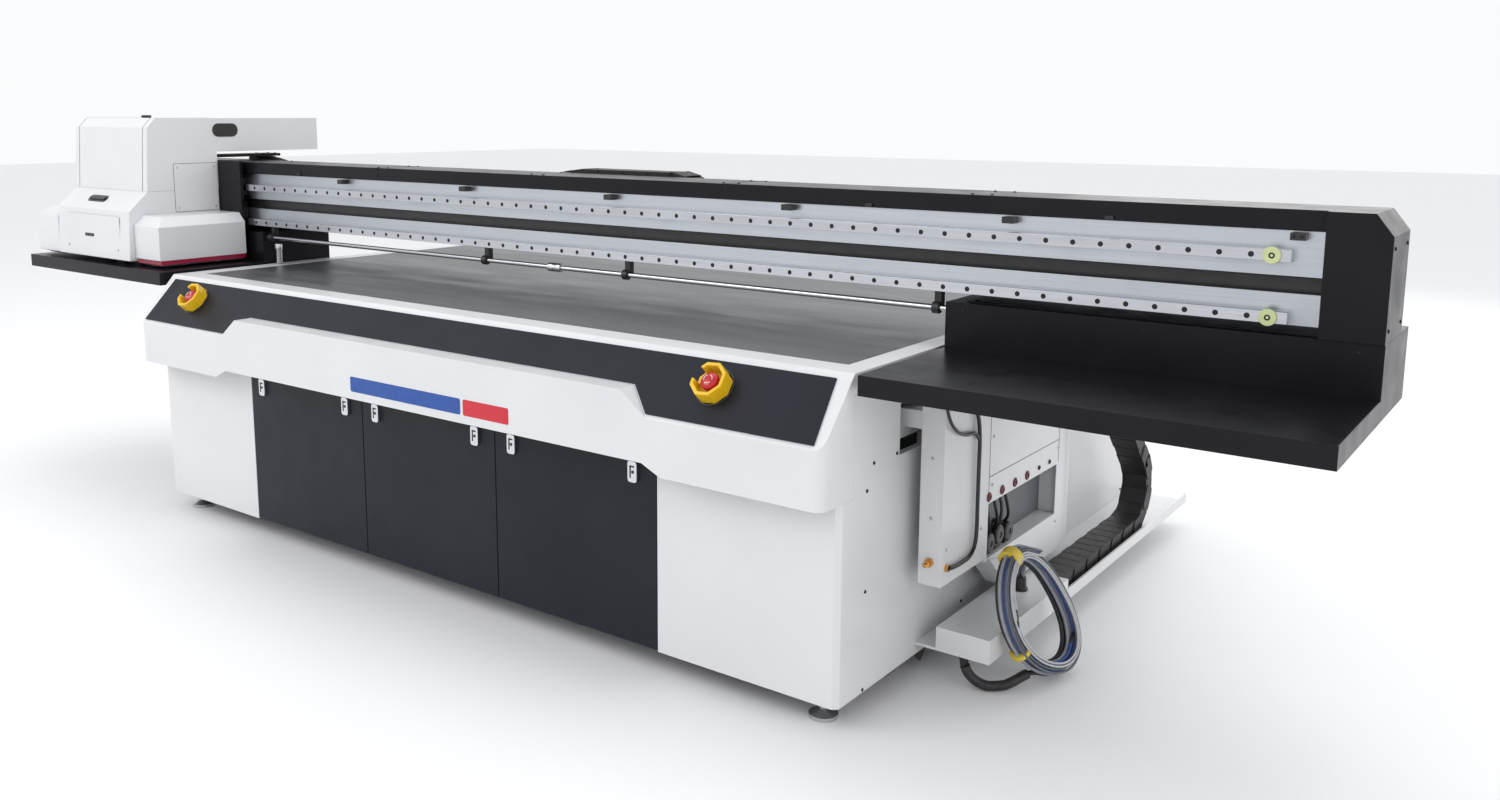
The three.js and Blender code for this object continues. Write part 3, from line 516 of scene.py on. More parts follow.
def camera():
    """The viewpoint of the picture."""
    yaw = math.radians(CAMERA_YAW)
    pitch = math.radians(CAMERA_PITCH)
    roll = math.radians(CAMERA_ROLL)
    ahead = Vector((-math.sin(yaw) * math.cos(pitch), math.cos(yaw) * math.cos(pitch), math.sin(pitch)))
    data = bpy.data.cameras.new("camera")
    data.lens = CAMERA_LENS
    data.sensor_width = 36
    data.shift_x, data.shift_y = CAMERA_SHIFT
    data.clip_end = 60
    obj = bpy.data.objects.new("camera", data)
    bpy.context.scene.collection.objects.link(obj)
    obj.location = at(*CAMERA_PLACE)
    obj.rotation_mode = "QUATERNION"
    obj.rotation_quaternion = ahead.to_track_quat("-Z", "Y") @ Quaternion((0, 0, 1), roll)
    bpy.context.scene.camera = obj


def soft_light(name, location, target, size, power):
    """A white area light that faces its target. Places and sizes are in metres, power in watts."""
    data = bpy.data.lights.new(name, "AREA")
    data.shape = "RECTANGLE"
    data.size, data.size_y = size
    data.energy = power
    obj = bpy.data.objects.new(name, data)
    bpy.context.scene.collection.objects.link(obj)
    obj.location = location
    obj.rotation_mode = "QUATERNION"
    obj.rotation_quaternion = (Vector(target) - Vector(location)).to_track_quat("-Z", "Y")


def studio():
    """A pale world, four soft lights and a plain floor."""
    world = bpy.data.worlds.new("studio")
    bpy.context.scene.world = world
    bpy.context.scene.view_settings.view_transform = "Standard"
    world.use_nodes = True
    background = world.node_tree.nodes["Background"]
    background.inputs["Color"].default_value = (0.98, 0.99, 1.0, 1)
    background.inputs["Strength"].default_value = 0.98
    soft_light("key", (-3.5, -5.5, 5.0), (0, 0, 0.6), (5, 3), 130)
    soft_light("right_fill", (6.5, -2.0, 3.2), (1.0, 0, 0.5), (4, 3), 45)
    soft_light("top", (0.0, 0.5, 5.5), (0, 0, 0.8), (6, 3), 70)
    soft_light("back", (1.5, 6.5, 3.5), (0, 0, 0.6), (6, 3), 70)
    bm = bmesh.new()
    half = 30
    signs = ((-1, -1), (1, -1), (1, 1), (-1, 1))
    corners = [bm.verts.new((sx * half, sy * half, -0.0005)) for sx, sy in signs]
    bm.faces.new(corners)
    mesh = bpy.data.meshes.new("floor")
    bm.to_mesh(mesh)
    bm.free()
    floor = bpy.data.objects.new("floor", mesh)
    bpy.context.scene.collection.objects.link(floor)
    paint = Surface("floor_paint", (0.86, 0.86, 0.87), 0.7)
    paint.vary_roughness(paint.noise(2, 3), 0.05)
    mesh.materials.append(paint.material)


# ------------------------------------------------------------------ loose cables

COIL_CENTRE = at(1533, 527, 163)
COIL_UP = Vector((-0.3225, -0.4453, 0.8354)).normalized()
COIL_OUT = (Vector((1, 0, 0)) - COIL_UP * COIL_UP.x).normalized()
COIL_SIDE = COIL_OUT.cross(COIL_UP)
COIL_LONG = 0.15
COIL_SHORT = 0.105
COIL_POINTS_PER_TURN = 16
BLACK_EXIT = (1430, 371)
GLAND = (1444, 652)

# A connector's radius as a share of its cable's radius, and its height in millimetres.
CONNECTOR = ((0.9, 0), (1.1, 1), (1.25, 12), (1.5, 14), (1.5, 24), (1.35, 25), (1.35, 27), (1.5, 28),
             (1.5, 38), (1.3, 40))


def coil_point(angle, shrink, out):
    """A point of the tied loops: angle in degrees from the top, shrink and out in mm."""
    turn = math.radians(angle)
    loose = 1 + 0.3 * (1 - math.cos(turn)) / 2
    inward = (shrink * loose + 3 * math.sin(3 * turn + 0.6)) / 1000
    out = out + 4 * math.sin(2 * turn + 1)
    return (COIL_CENTRE
            + COIL_UP * (COIL_LONG - inward) * math.cos(turn)
            + COIL_SIDE * (COIL_SHORT - inward) * math.sin(turn)
            + COIL_OUT * out * loose / 1000)


def coil_turns(first, turns, shrink, step, out):
    """Loops that lie side by side, each a step further in than the last."""
    count = int(turns * COIL_POINTS_PER_TURN)
    points = []
    for i in range(count + 1):
        turn = turns * i / count
        points.append(coil_point(first + turn * 360, shrink + step * turn, out))
    return points


def loose_cable(name, surface, diameter, route):
    """A cable along a route, with a moulded connector on its far end."""
    line = smooth_path(route, 5)
    curve = bpy.data.curves.new(name, "CURVE")
    curve.dimensions = "3D"
    curve.bevel_depth = diameter / 2000
    curve.bevel_resolution = 4
    curve.use_fill_caps = True
    spline = curve.splines.new("POLY")
    spline.points.add(len(line) - 1)
    for i, point in enumerate(line):
        spline.points[i].co = (*point, 1)
    spline.use_smooth = True
    obj = bpy.data.objects.new(name, curve)
    bpy.context.scene.collection.objects.link(obj)
    curve.materials.append(surface.material)
    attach(obj, "base")
    bm = bmesh.new()
    radius = diameter / 2
    ahead = (line[-1] - line[-2]).normalized()
    profile = [(radius * share, height) for share, height in CONNECTOR]
    solid_turned(bm, line[-1] - ahead * 0.004, ahead, profile)
    plug = make(name + "_connector", bm, BLACK_PLASTIC, "base", 0.4)
    return obj


def lead_in(start, first, end, second, reach):
    """A smooth run between two points that leaves and arrives in the given directions."""
    points = []
    for i in range(9):
        t = i / 9
        points.append(start * (2 * t ** 3 - 3 * t * t + 1) + first * reach * (t ** 3 - 2 * t * t + t)
                      + end * (3 * t * t - 2 * t ** 3) + second * reach * (t ** 3 - t * t))
    return points


def into_coil(start, first, loops, reach):
    """The run from a cable's exit into its first loop, then the loops themselves."""
    turns = coil_turns(*loops)
    return lead_in(start, first, turns[0], (turns[1] - turns[0]).normalized(), reach) + turns


def black_fall(toward):
    """The black cable's drop from its exit and its even bend onto the floor."""
    radius = 0.0605
    top = at(*BLACK_EXIT, 73.5)
    points = [at(*BLACK_EXIT, z) for z in (80, 74)]
    for i in range(1, 7):
        angle = math.radians(15 * i)
        points.append(top + toward * radius * (1 - math.cos(angle)) + DOWN * radius * math.sin(angle))
    return points


def black_cable():
    """The thick cable, which runs over the floor into the tied loops. Returns its sleeve's path."""
    toward = Vector((0.93, 0.37, 0)).normalized()
    fall = black_fall(toward)
    run = fall[:-1] + into_coil(fall[-1], toward, (130, 2.5, -14, 10, -8), 0.16)
    black = loose_cable("cable_black", CABLE_BLACK, 12, run)
    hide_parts("cable_coil", "cable_lead")
    return smooth_path(fall[2:] + run[9:15], 4)


def thin_cables():
    """Four cables that rise from one gland: diameter, place in the gland, and loops of each."""
    for name, surface, diameter, shift, loops in (
        ("cable_grey", CABLE_GREY, 9, (6, 0), (-52, 3.2, -18, 9.6, 3.4)),
        ("cable_blue", CABLE_BLUE, 7, (-5, 5), (-52, 2.7, -12, 7.6, 11.8)),
        ("cable_slate", CABLE_SLATE, 6, (-4, -5), (-52, 3.3, -15, 6.8, 18.6)),
        ("cable_pale", CABLE_PALE, 5, (2, 8), (-52, 2.3, -3, 5.8, 24.4)),
    ):
        exit_point = at(GLAND[0] + shift[0], GLAND[1] + shift[1], 158)
        rise = exit_point + UP * 0.024
        loose_cable(name, surface, diameter, [exit_point] + into_coil(rise, UP, loops, 0.26))


def cable_ties():
    """A wide and a narrow wrap round the bundle, each at its own angle on the loop."""
    bm = bmesh.new()
    for angle, width in ((-12, 30), (98, 12)):
        middle = coil_point(angle, 0, 1)
        along = (coil_point(angle + 4, 0, 1) - coil_point(angle - 4, 0, 1)).normalized()
        profile = [(23, 0), (26, 1), (27, 4), (25.5, width / 2),
                   (27, width - 4), (26, width - 1), (23, width)]
        solid_turned(bm, middle - along * width / 2000, along, profile, 28)
    make("cable_ties", bm, TAPE, "base", 0.4)


def cable_boots():
    """Rubber boots where the cables leave the machine."""
    bm = bmesh.new()
    solid_turned(bm, at(*GLAND, 156), UP, [(19, 0), (19, 6), (16, 8), (14, 34), (12, 36)], 24)
    solid_turned(bm, at(*BLACK_EXIT, 82), DOWN, [(14, 0), (14, 5), (11, 7), (8.5, 26), (7.5, 28)], 24)
    make("cable_boots", bm, BLACK_PLASTIC, "base", 0.5)


def loose_cables():
    """Everything that lies in or holds the tied loops at the right of the base."""
    sleeve = black_cable()
    thin_cables()
    bm = bmesh.new()
    solid_tube(bm, sleeve, 11.8, 14)
    make("cable_sleeve", bm, CABLE_BLACK, "base", 0)
    cable_ties()
    cable_boots()


# ------------------------------------------------------------------ drag chains


def add_link(bm, origin, along, across, half_width, height, pitch, outer):
    """One chain link: two side plates with a hinge boss, and a bar above and below."""
    up = across.cross(along)
    plate = 5
    reach = half_width - (0 if outer else plate * 0.55)
    radius = height / 2
    for sign in (-1, 1):
        loop = []
        for i in range(7):
            angle = math.radians(-90 + 30 * i)
            loop.append((pitch / 2 + math.cos(angle) * radius * 0.55, math.sin(angle) * radius))
        for i in range(7):
            angle = math.radians(90 + 30 * i)
            loop.append((-pitch / 2 + math.cos(angle) * radius * 0.55, math.sin(angle) * radius))
        face = [origin + (along * a + up * b * (1.0 if outer else 0.9) + across * sign * reach) / 1000
                for a, b in loop]
        solid_prism(bm, face, across * -sign * plate / 1000)
        boss = origin + (along * pitch / 2 + across * sign * (reach - 1)) / 1000
        profile = [(radius * 0.42, 0), (radius * 0.42, 1.6), (radius * 0.3, 2.1)]
        solid_turned(bm, boss, across * sign, profile, 14)
    for sign in (-1, 1):
        bar = []
        for a, b in ((-0.47, 0.99), (0.47, 0.99), (0.47, 0.86), (-0.47, 0.86)):
            bar.append(origin + (along * a * pitch + up * sign * b * radius
                                 - across * (half_width - 2)) / 1000)
        solid_prism(bm, bar, across * (2 * half_width - 4) / 1000)


def walk(path, pitch):
    """Evenly spaced (point, direction) pairs along a polyline."""
    spots = []
    travelled = pitch / 2
    done = 0.0
    for a, b in zip(path, path[1:]):
        length = (b - a).length
        while travelled <= done + length and length > 0:
            spots.append((a.lerp(b, (travelled - done) / length), (b - a).normalized()))
            travelled += pitch
        done += length
    return spots


def chain_piece(name, path, across, size, body, slot_nodes, shrink=0.0):
    """Links along a path; shrink makes a run that hides inside another, in millimetres."""
    total = sum((b - a).length for a, b in zip(path, path[1:])) * 1000
    count = max(1, round(total / CHAIN_PITCH))
    pitch = total / count
    bm = bmesh.new()
    half_width = size["width"] / 2 - 1.5 - shrink
    height = size["height"] - 1 - 2 * shrink
    for i, (spot, ahead) in enumerate(walk(path, pitch / 1000)):
        add_link(bm, spot, ahead, across, half_width, height, pitch, i % 2 == 0)
    obj = make(name, bm, CHAIN, body, 0.35)
    if slot_nodes:
        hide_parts(*slot_nodes)
    return obj


def arc_points(along, up, radius, start, end, steps):
    """An arc of (along, up) pairs about a centre, between two angles in degrees."""
    out = []
    for i in range(steps + 1):
        angle = math.radians(start + (end - start) * i / steps)
        out.append((along + radius * math.cos(angle), up + radius * math.sin(angle)))
    return out


def y_chain():
    """The chain beside the base. Its inner run slides out of the fixed run as the bend moves."""
    x = Y_CHAIN["centre"]
    low = Y_CHAIN["low"]
    radius = Y_CHAIN["radius"]
    across = RIGHT
    lower = [at(x, Y_CHAIN_FIXED, low), at(x, Y_CHAIN_CENTRE, low)]
    chain_piece("y_chain_run", lower, across, Y_CHAIN, "base", ["y_chain_lower"])
    hidden = [at(x, Y_CHAIN_CENTRE - Y_TRAVEL / 2 - 10, low), at(x, Y_CHAIN_CENTRE, low)]
    chain_piece("y_chain_run_inner", hidden, across, Y_CHAIN, "y_chain", [], 1.0)
    bend = [at(x, y, z) for y, z in arc_points(Y_CHAIN_CENTRE, low + radius, radius, -90, 45, 16)]
    chain_piece("y_chain_links", bend, across, Y_CHAIN, "y_chain", ["y_chain_bend"])
    lead = 300
    diagonal = math.sqrt(0.5)
    y0 = Y_CHAIN_CENTRE + radius * diagonal
    z0 = low + radius + radius * diagonal
    straight = Y_CHAIN_HIGH - lead * (1 - diagonal) - z0
    curve = arc_points(y0 - straight - lead * diagonal, Y_CHAIN_HIGH - lead, lead, 45, 90, 10)
    upper = [at(x, y0, z0)] + [at(x, y, z) for y, z in curve] + [at(x, Y_CHAIN_MOVING, Y_CHAIN_HIGH)]
    run = chain_piece("y_chain_top", upper, across, Y_CHAIN, None, ["y_chain_upper"])
    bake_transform(run)


def x_chain():
    """The chain behind the beam, whose upper run sags slightly between its ends."""
    y = X_CHAIN["centre"]
    low = X_CHAIN["low"]
    radius = X_CHAIN["radius"]
    across = BACK
    lower = [at(X_CHAIN_FIXED, y, low), at(X_CHAIN_CENTRE, y, low)]
    chain_piece("x_chain_run", lower, across, X_CHAIN, "gantry", ["x_chain_lower"])
    hidden = [at(X_CHAIN_CENTRE - X_TRAVEL / 2, y, low), at(X_CHAIN_CENTRE, y, low)]
    chain_piece("x_chain_run_inner", hidden, across, X_CHAIN, "x_chain", [], 1.0)
    bend = [at(x, y, z) for x, z in arc_points(X_CHAIN_CENTRE, low + radius, radius, -90, 90, 20)]
    chain_piece("x_chain_links", bend, across, X_CHAIN, "x_chain", ["x_chain_bend"])
    high = low + 2 * radius
    level = X_CHAIN_CENTRE - 325
    ramp = 220
    sag = 26
    upper = [at(X_CHAIN_CENTRE, y, high)]
    steps = 48
    for i in range(steps + 1):
        x = level + (X_CHAIN_MOVING - level) * i / steps
        near = min(level - x, x - X_CHAIN_MOVING, ramp) / ramp
        upper.append(at(x, y, high - sag / 2 * (1 - math.cos(math.pi * near))))
    run = chain_piece("x_chain_top", upper, across, X_CHAIN, None, ["x_chain_upper"])
    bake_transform(run)


# ------------------------------------------------------------------ fine pieces


def screws(bm, points, normal, radius, height=2.2):
    """Button-head screws, each with a sunk socket."""
    profile = [(radius, 0), (radius, height * 0.5), (radius * 0.8, height), (radius * 0.45, height),
               (radius * 0.4, height * 0.3)]
    turned_row(bm, points, normal, profile, 14)


def rail_details():
    """The rail screws, and at each rail end a buffer with its own screw."""
    bm = bmesh.new()
    bolts = [at(RAIL_BOLT_FIRST - i * RAIL_BOLT_PITCH, RAIL_FRONT + 0.5, rail)
             for rail in (LOWER_RAIL, UPPER_RAIL) for i in range(RAIL_BOLT_COUNT)]
    turned_row(bm, bolts, FRONT, [(5.8, 0), (5.8, 0.7)], 14)
    make("rail_bolts", bm, BOLT, "gantry", 0)
    ends = [(x, rail) for x in (-RAIL_STOP_X, RAIL_STOP_X) for rail in (LOWER_RAIL, UPPER_RAIL)]
    bm = bmesh.new()
    buffers = [at(x, RAIL_FRONT - 0.3, rail) for x, rail in ends]
    turned_row(bm, buffers, FRONT, [(16, 0), (17, 1), (17, 3.4), (16, 4.2)], 24)
    make("rail_stops", bm, NYLON, "gantry", 0)
    bm = bmesh.new()
    heads = [at(x, RAIL_FRONT - 4, rail) for x, rail in ends]
    turned_row(bm, heads, FRONT, [(6, 0), (6, 0.9), (3, 0.9), (3, 0.4)], 16)
    make("rail_stop_bolts", bm, BOLT, "gantry", 0)


def beam_details():
    """What the beam carries: painted groove shade, clips, screws, lid seams, rod brackets and collar."""
    bm = bmesh.new()
    half = BEAM_HALF - 1
    # Black sheets at the back, top and bottom of the groove are painted shade for its depth.
    solid_box(bm, (-half, half), (450.2, 451.8), (981.3, 1013.7))
    solid_box(bm, (-half, half), (431, 451.8), (981.2, 982.2))
    solid_box(bm, (-half, half), (431, 451.8), (1012.8, 1013.8))
    for x in (-877, -282, 307, 896, 1480, 2071):
        solid_box(bm, (x - 14, x + 14), (405, 429.8), (1086.6, 1101))
    for x in (-1123, 1123, 1700):
        solid_box(bm, (x - 9, x + 9), (417, 421.8), (1106, 1114))
    make("beam_clips_and_groove_shade", bm, BLACK_PLASTIC, "gantry", 0.8)
    bm = bmesh.new()
    for x in (-1400, -700, 0, 700, 1400):
        for y in (445, 568):
            screws(bm, [at(x - 24, y, LID_TOP - 0.2), at(x + 24, y, LID_TOP - 0.2)], UP, 4)
    screws(bm, [at(x, 405.2, 1094) for x in (2064, 2078)], FRONT, 3)
    for side in (-1, 1):
        screws(bm, [at(side * (STATION_OUTER - 0.2), y, z) for y in (425, 565) for z in (925, 1080)],
               RIGHT * side, 4)
    make("beam_screws", bm, BOLT, "gantry", 0)
    bm = bmesh.new()
    for x in (-700, 700):
        solid_box(bm, (x - 1, x + 1), (421.4, 590.6), (1105, LID_TOP + 0.5))
    make("lid_seams", bm, BLACK_PLASTIC, "gantry", 0)
    bm = bmesh.new()
    for x in (-1306, -206, 357, 1306):
        solid_box(bm, (x - 9, x + 9), (429, 447), (874, 917.6))
        solid_turned(bm, at(x - 9, 425, 881), RIGHT, [(13, 0), (14, 1), (14, 17), (13, 18)], 20)
    make("rod_brackets", bm, BLACK_PLASTIC, "gantry", 0.8)
    bm = bmesh.new()
    collar = [(11, 0), (12.5, 2), (12.5, 22), (10, 23), (10, 28), (12.5, 29), (12.5, 49), (11, 51)]
    solid_turned(bm, at(61, 425, 881), RIGHT, collar, 24)
    post = [(10, 0), (11, 1), (11, 46), (13, 48), (13, 66), (10, 68)]
    solid_turned(bm, at(-1278, 430, 793), UP, post, 20)
    make("rod_collar", bm, CHROME, "gantry", 0)


def station_details():
    """A cover plate and its screws on each end station."""
    for side, word in ((1, "right"), (-1, "left")):
        middle = side * (STATION_INNER + STATION_OUTER) / 2
        bm = bmesh.new()
        solid_plate(bm, at(middle, 548, HOUSING_TOP - 0.5), UP, BACK, 820, 236, 10, 2.5)
        make(f"station_covers_{word}", bm, BLACK, "gantry", 0.8)
        bm = bmesh.new()
        ends = (STATION_INNER + 60, STATION_OUTER - 60)
        screws(bm, [at(side * x, y, HOUSING_TOP + 1.8) for x in ends for y in (445, 652)], UP, 4)
        screws(bm, [at(side * x, 408.2, 882) for x in (1380, 1786, 2192)], FRONT, 3.6, 1.8)
        make(f"station_screws_{word}", bm, BOLT, "gantry", 0)


def base_details():
    """Screws, foot nuts, rear louvres and the hook on the base."""
    marks = ((139, 575), (111, 519), (112, 290), (109, 63), (242, 574), (600, 110), (600, 500), (1180, 110),
             (1180, 500), (1780, 110), (1780, 500))
    bm = bmesh.new()
    for side in (-1, 1):
        screws(bm, [at(side * (BASE_HALF - 0.2), y, z) for y, z in marks], RIGHT * side, 4.2)
    rear = [at(x, BASE_REAR - 0.2, z) for x in (-1240, -420, 420, 1240) for z in (90, 400, 700)]
    screws(bm, rear, BACK, 4.2)
    make("cabinet_screws", bm, BOLT, "base", 0)
    bm = bmesh.new()
    nuts = [at(x, y, z) for x in (-FOOT_X, FOOT_X) for y in FOOT_Y for z in (26, 41)]
    turned_row(bm, nuts, UP, [(15, 0), (17, 2), (17, 9), (15, 11)], 6)
    make("foot_nuts", bm, ZINC, "base", 0)
    bm = bmesh.new()
    for centre in (-820, 0, 820):
        for row in range(9):
            z = 470 + row * 22
            loop = [at(centre - 130, BASE_REAR - 0.5, z), at(centre - 130, BASE_REAR + 7, z),
                    at(centre - 130, BASE_REAR - 0.5, z + 13)]
            solid_prism(bm, loop, Vector((0.26, 0, 0)))
    make("rear_louvres", bm, WHITE, "base", 0.6)
    bm = bmesh.new()
    hook = smooth_path([at(1296, y, z) for y, z in ((205, 62), (207, 54), (225, 47), (258, 45), (290, 47),
                                                    (308, 54), (310, 62))], 4)
    solid_tube(bm, hook, 4.5, 10)
    loop = [at(1298, y, z) for y, z in ((358, 56), (439, 56), (398, 22))]
    solid_prism(bm, loop, Vector((0.006, 0, 0)))
    make("base_hook", bm, BLACK_PLASTIC, "base", 0.4)


def accent_stripes():
    """A plain two-colour stripe on the front, with no lettering."""
    height = ACCENT_Z[1] - ACCENT_Z[0]
    for name, surface, x in (("accent_blue", BLUE_ACCENT, (-218, 228)),
                             ("accent_red", RED_ACCENT, (238, 403))):
        bm = bmesh.new()
        centre = at(sum(x) / 2, FASCIA_FRONT + 0.2, sum(ACCENT_Z) / 2)
        solid_plate(bm, centre, FRONT, UP, x[1] - x[0], height, 5, 0.7)
        make(name, bm, surface, "base", 0)


def stop_details():
    """White arcs on each stop button and a black ring round it, square to the sloping fascia."""
    up = Vector((0, RIM_FRONT - FASCIA_FRONT, RIM_TOP - FASCIA_EDGE)).normalized()
    out = RIGHT.cross(up)
    for word, x in STOP_X.items():
        foot = at(x, FASCIA_FRONT, FASCIA_EDGE) + up * STOP_UP / 1000
        bm = bmesh.new()
        for i in range(3):
            start = math.radians(120 * i)
            line = [foot + out * 0.0402 + (RIGHT * math.cos(a) + up * math.sin(a)) * 0.0105
                    for a in (start + math.radians(12 * k) for k in range(8))]
            solid_tube(bm, line, 0.9, 6)
        make(f"stop_marks_{word}", bm, WHITE_INK, f"stop_{word}", 0)
        bm = bmesh.new()
        ring = [(48, 0), (48, 1.4), (46.5, 2.2), (44, 2.2), (44, 0)]
        solid_turned(bm, foot + out * 0.0046, out, ring, 32, True)
        make(f"stop_ring_{word}", bm, BLACK_PLASTIC, "base", 0)


def door_details():
    """Hinges, stiffener and gasket behind each door, and a keyhole on each latch."""
    for number in (1, 2, 3):
        left = -DOOR_HALF + (number - 1) * DOOR_WIDTH
        right = left + DOOR_WIDTH
        bm = bmesh.new()
        for x in (left + 110, right - 170):
            solid_turned(bm, at(x, 24, 70), RIGHT, [(4, 0), (5, 1), (5, 59), (4, 60)], 14)
            solid_box(bm, (x, x + 60), (DOOR_BACK, 21), (70, 104))
        solid_box(bm, (left + 60, right - 60), (DOOR_BACK, 30), (286, 318))
        make(f"door_stiffener_{number}", bm, FRAME, f"door_{number}", 0.8)
        bm = bmesh.new()
        for x in ((left + 14, left + 22), (right - 22, right - 14)):
            solid_box(bm, x, (DOOR_BACK, 23), (76, 518))
        for z in ((76, 84), (510, 518)):
            solid_box(bm, (left + 14, right - 14), (DOOR_BACK, 23), z)
        make(f"door_gasket_{number}", bm, BLACK_PLASTIC, f"door_{number}", 0.8)
        for side, x in enumerate((left + LATCH_INSET, right - LATCH_INSET)):
            index = number * 2 - 1 + side
            bm = bmesh.new()
            solid_box(bm, (x - 7, x - 3.4), KEYHOLE_DEPTH, (LATCH_Z - 15, LATCH_Z + 15))
            solid_box(bm, (x - 7, x + 7), KEYHOLE_DEPTH, (LATCH_Z + 11, LATCH_Z + 15))
            solid_turned(bm, at(x + 2.5, KEYHOLE_DEPTH[1], LATCH_Z), FRONT, [(4.2, 0), (4.2, 1.1)], 14)
            make(f"latch_keyhole_{index}", bm, BLACK_PLASTIC, f"latch_{index}", 0)


def bay_details():
    """The bays behind the doors: a lined tray, ink tanks left and right, a driver box between."""
    bm = bmesh.new()
    solid_box(bm, (-806, 806), (60, 560), (62, 66))
    solid_box(bm, (-806, 806), (556, 560), (66, 690))
    for x in (-806, -271, 267, 802):
        solid_box(bm, (x, x + 4), (60, 556), (66, 560))
    for x in (-540, 540):
        solid_box(bm, (x - 240, x + 240), (96, 99), (66, 96))
    make("bay_liner", bm, FRAME, "base", 0.8)
    tanks = bmesh.new()
    caps = bmesh.new()
    tank = [(42, 0), (45, 3), (45, 60), (43, 64), (45, 68), (45, 150), (36, 170), (15, 176), (15, 190)]
    cap = [(19, 0), (19, 20), (17, 23), (5, 23), (4, 40)]
    for bay in (-540, 540):
        for i in range(4):
            foot = at(bay - 165 + 110 * i, 190, 66.2)
            solid_turned(tanks, foot, UP, tank, 28)
            solid_turned(caps, foot + UP * 0.19, UP, cap, 20)
    make("ink_tanks", tanks, WHITE_INK, "base", 0.6)
    make("ink_caps", caps, BLACK_PLASTIC, "base", 0.4)
    bm = bmesh.new()
    solid_box(bm, (-190, 190), (230, 400), (66.2, 330))
    for i in range(12):
        solid_box(bm, (-160 + i * 27, -146 + i * 27), (226, 231), (210, 300))
    for i in range(6):
        solid_box(bm, (-150 + i * 52, -116 + i * 52), (216, 231), (96, 122))
    make("driver_box", bm, CASTING, "base", 1.2)


def leg_details():
    """Screws on the legs, the brass fitting on the right leg and the thin air branch."""
    bm = bmesh.new()
    for side in (-1, 1):
        screws(bm, [at(side * (LEG_OUTER - 0.2), y, z) for y in (320, 505) for z in (345, 700)],
               RIGHT * side, 4)
        screws(bm, [at(side * 1371, 297.2, z) for z in (420, 560, 700)], FRONT, 4)
    face = LEG_OUTER - 0.2
    screws(bm, [at(face, y, z) for y in (560, 980) for z in (440, 560, 720)], RIGHT, 3.6)
    screws(bm, [at(face, y, 235) for y in (700, 980)], RIGHT, 3.6)
    make("leg_screws", bm, ZINC, "gantry", 0)
    bm = bmesh.new()
    solid_turned(bm, at(1371, 297.5, 316), FRONT, [(11, 0), (11, 9)], 6)
    barb = [(7, 0), (7, 8), (5, 9), (6, 12), (5, 14), (6, 17), (4, 20)]
    solid_turned(bm, at(1371, 289, 316), FRONT, barb, 16)
    solid_turned(bm, at(1408, 322, 302) + LEFT * 0.009, RIGHT, [(9, 0), (9, 9)], 6)
    make("leg_fitting", bm, BRASS, "gantry", 0.3)
    bm = bmesh.new()
    branch = smooth_path([at(1408, y, z) for y, z in ((270, 748), (283, 692), (309, 645), (350, 614),
                                                      (392, 600), (432, 596), (459, 576))], 6)
    solid_tube(bm, branch, 4, 10)
    make("air_branch", bm, BLACK_PLASTIC, "gantry", 0)


def enclosure_details():
    """Connectors, pumps and hoses, back plate and seams of the electrics enclosure."""
    face = LEG_OUTER - 0.3
    ports = [at(face, y, FLUID_Z) for y in FLUID_Y]
    bm = bmesh.new()
    turned_row(bm, ports, RIGHT, [(12, 0), (12, 2), (9, 4), (6, 4), (6, 1)], 22)
    make("fluid_connectors", bm, BURGUNDY, "gantry", 0)
    bm = bmesh.new()
    turned_row(bm, ports, RIGHT, [(5.6, 0), (5.6, 3), (3, 3), (3, 1.6)], 18)
    knobs = [at(face, y, 415) for y in (850, 920)]
    turned_row(bm, knobs, RIGHT, [(6, 0), (6, 3), (4, 4), (2.5, 4), (2.5, 1)], 18)
    pump = [(23, 0), (25, 2), (25, 26), (22, 28), (22, 32), (25, 34), (25, 42), (20, 45), (8, 45), (8, 43)]
    for y, z in ((580, 284), (634, 292), (690, 286)):
        solid_turned(bm, at(1350, y, z), RIGHT, pump, 24)
        solid_box(bm, (1354, 1388), (y - 16, y + 16), (257.5, z - 18))
    for y, end in ((562, 574), (606, 626), (640, 640), (672, 694)):
        hose = smooth_path([
            at(1386, y, 404), at(1386, y, 390), at(1390, y + 4, 366),
            at(1392, (y + end) / 2, 342), at(1386, end, 322), at(1376, end, 306)], 5)
        solid_tube(bm, hose, 4.2, 10)
    make("pump_set", bm, BLACK_PLASTIC, "gantry", 0.4)
    bm = bmesh.new()
    solid_box(bm, (1347, 1349), (541, 985), (258, 558))
    make("enclosure_backplate", bm, FRAME, "gantry", 0.4)
    bm = bmesh.new()
    solid_box(bm, (face, face + 0.8), (541, 984), (462, 463.6))
    for y in (541, 983):
        solid_box(bm, (face, face + 0.8), (y, y + 1.6), (400, 742))
    make("enclosure_seams", bm, BLACK_PLASTIC, "gantry", 0)


def hood_strip(bm, x, inset, proud):
    """A thin band that follows the hood's front, its chamfer and its top."""
    outside = ((118, SHOULDER + 3), (133, 1267), (164, 1300), (386, 1300))
    shift = ((-proud, 0), (-proud, 0), (-proud * 0.4, proud), (0, proud))
    loop = [at(x[0], y + dy, z + dz) for (y, z), (dy, dz) in zip(outside, shift)]
    back = [at(x[0], y + inset, z - inset * 0.5) for y, z in reversed(outside)]
    solid_prism(bm, loop + back, Vector((x[1] - x[0], 0, 0)) / 1000)


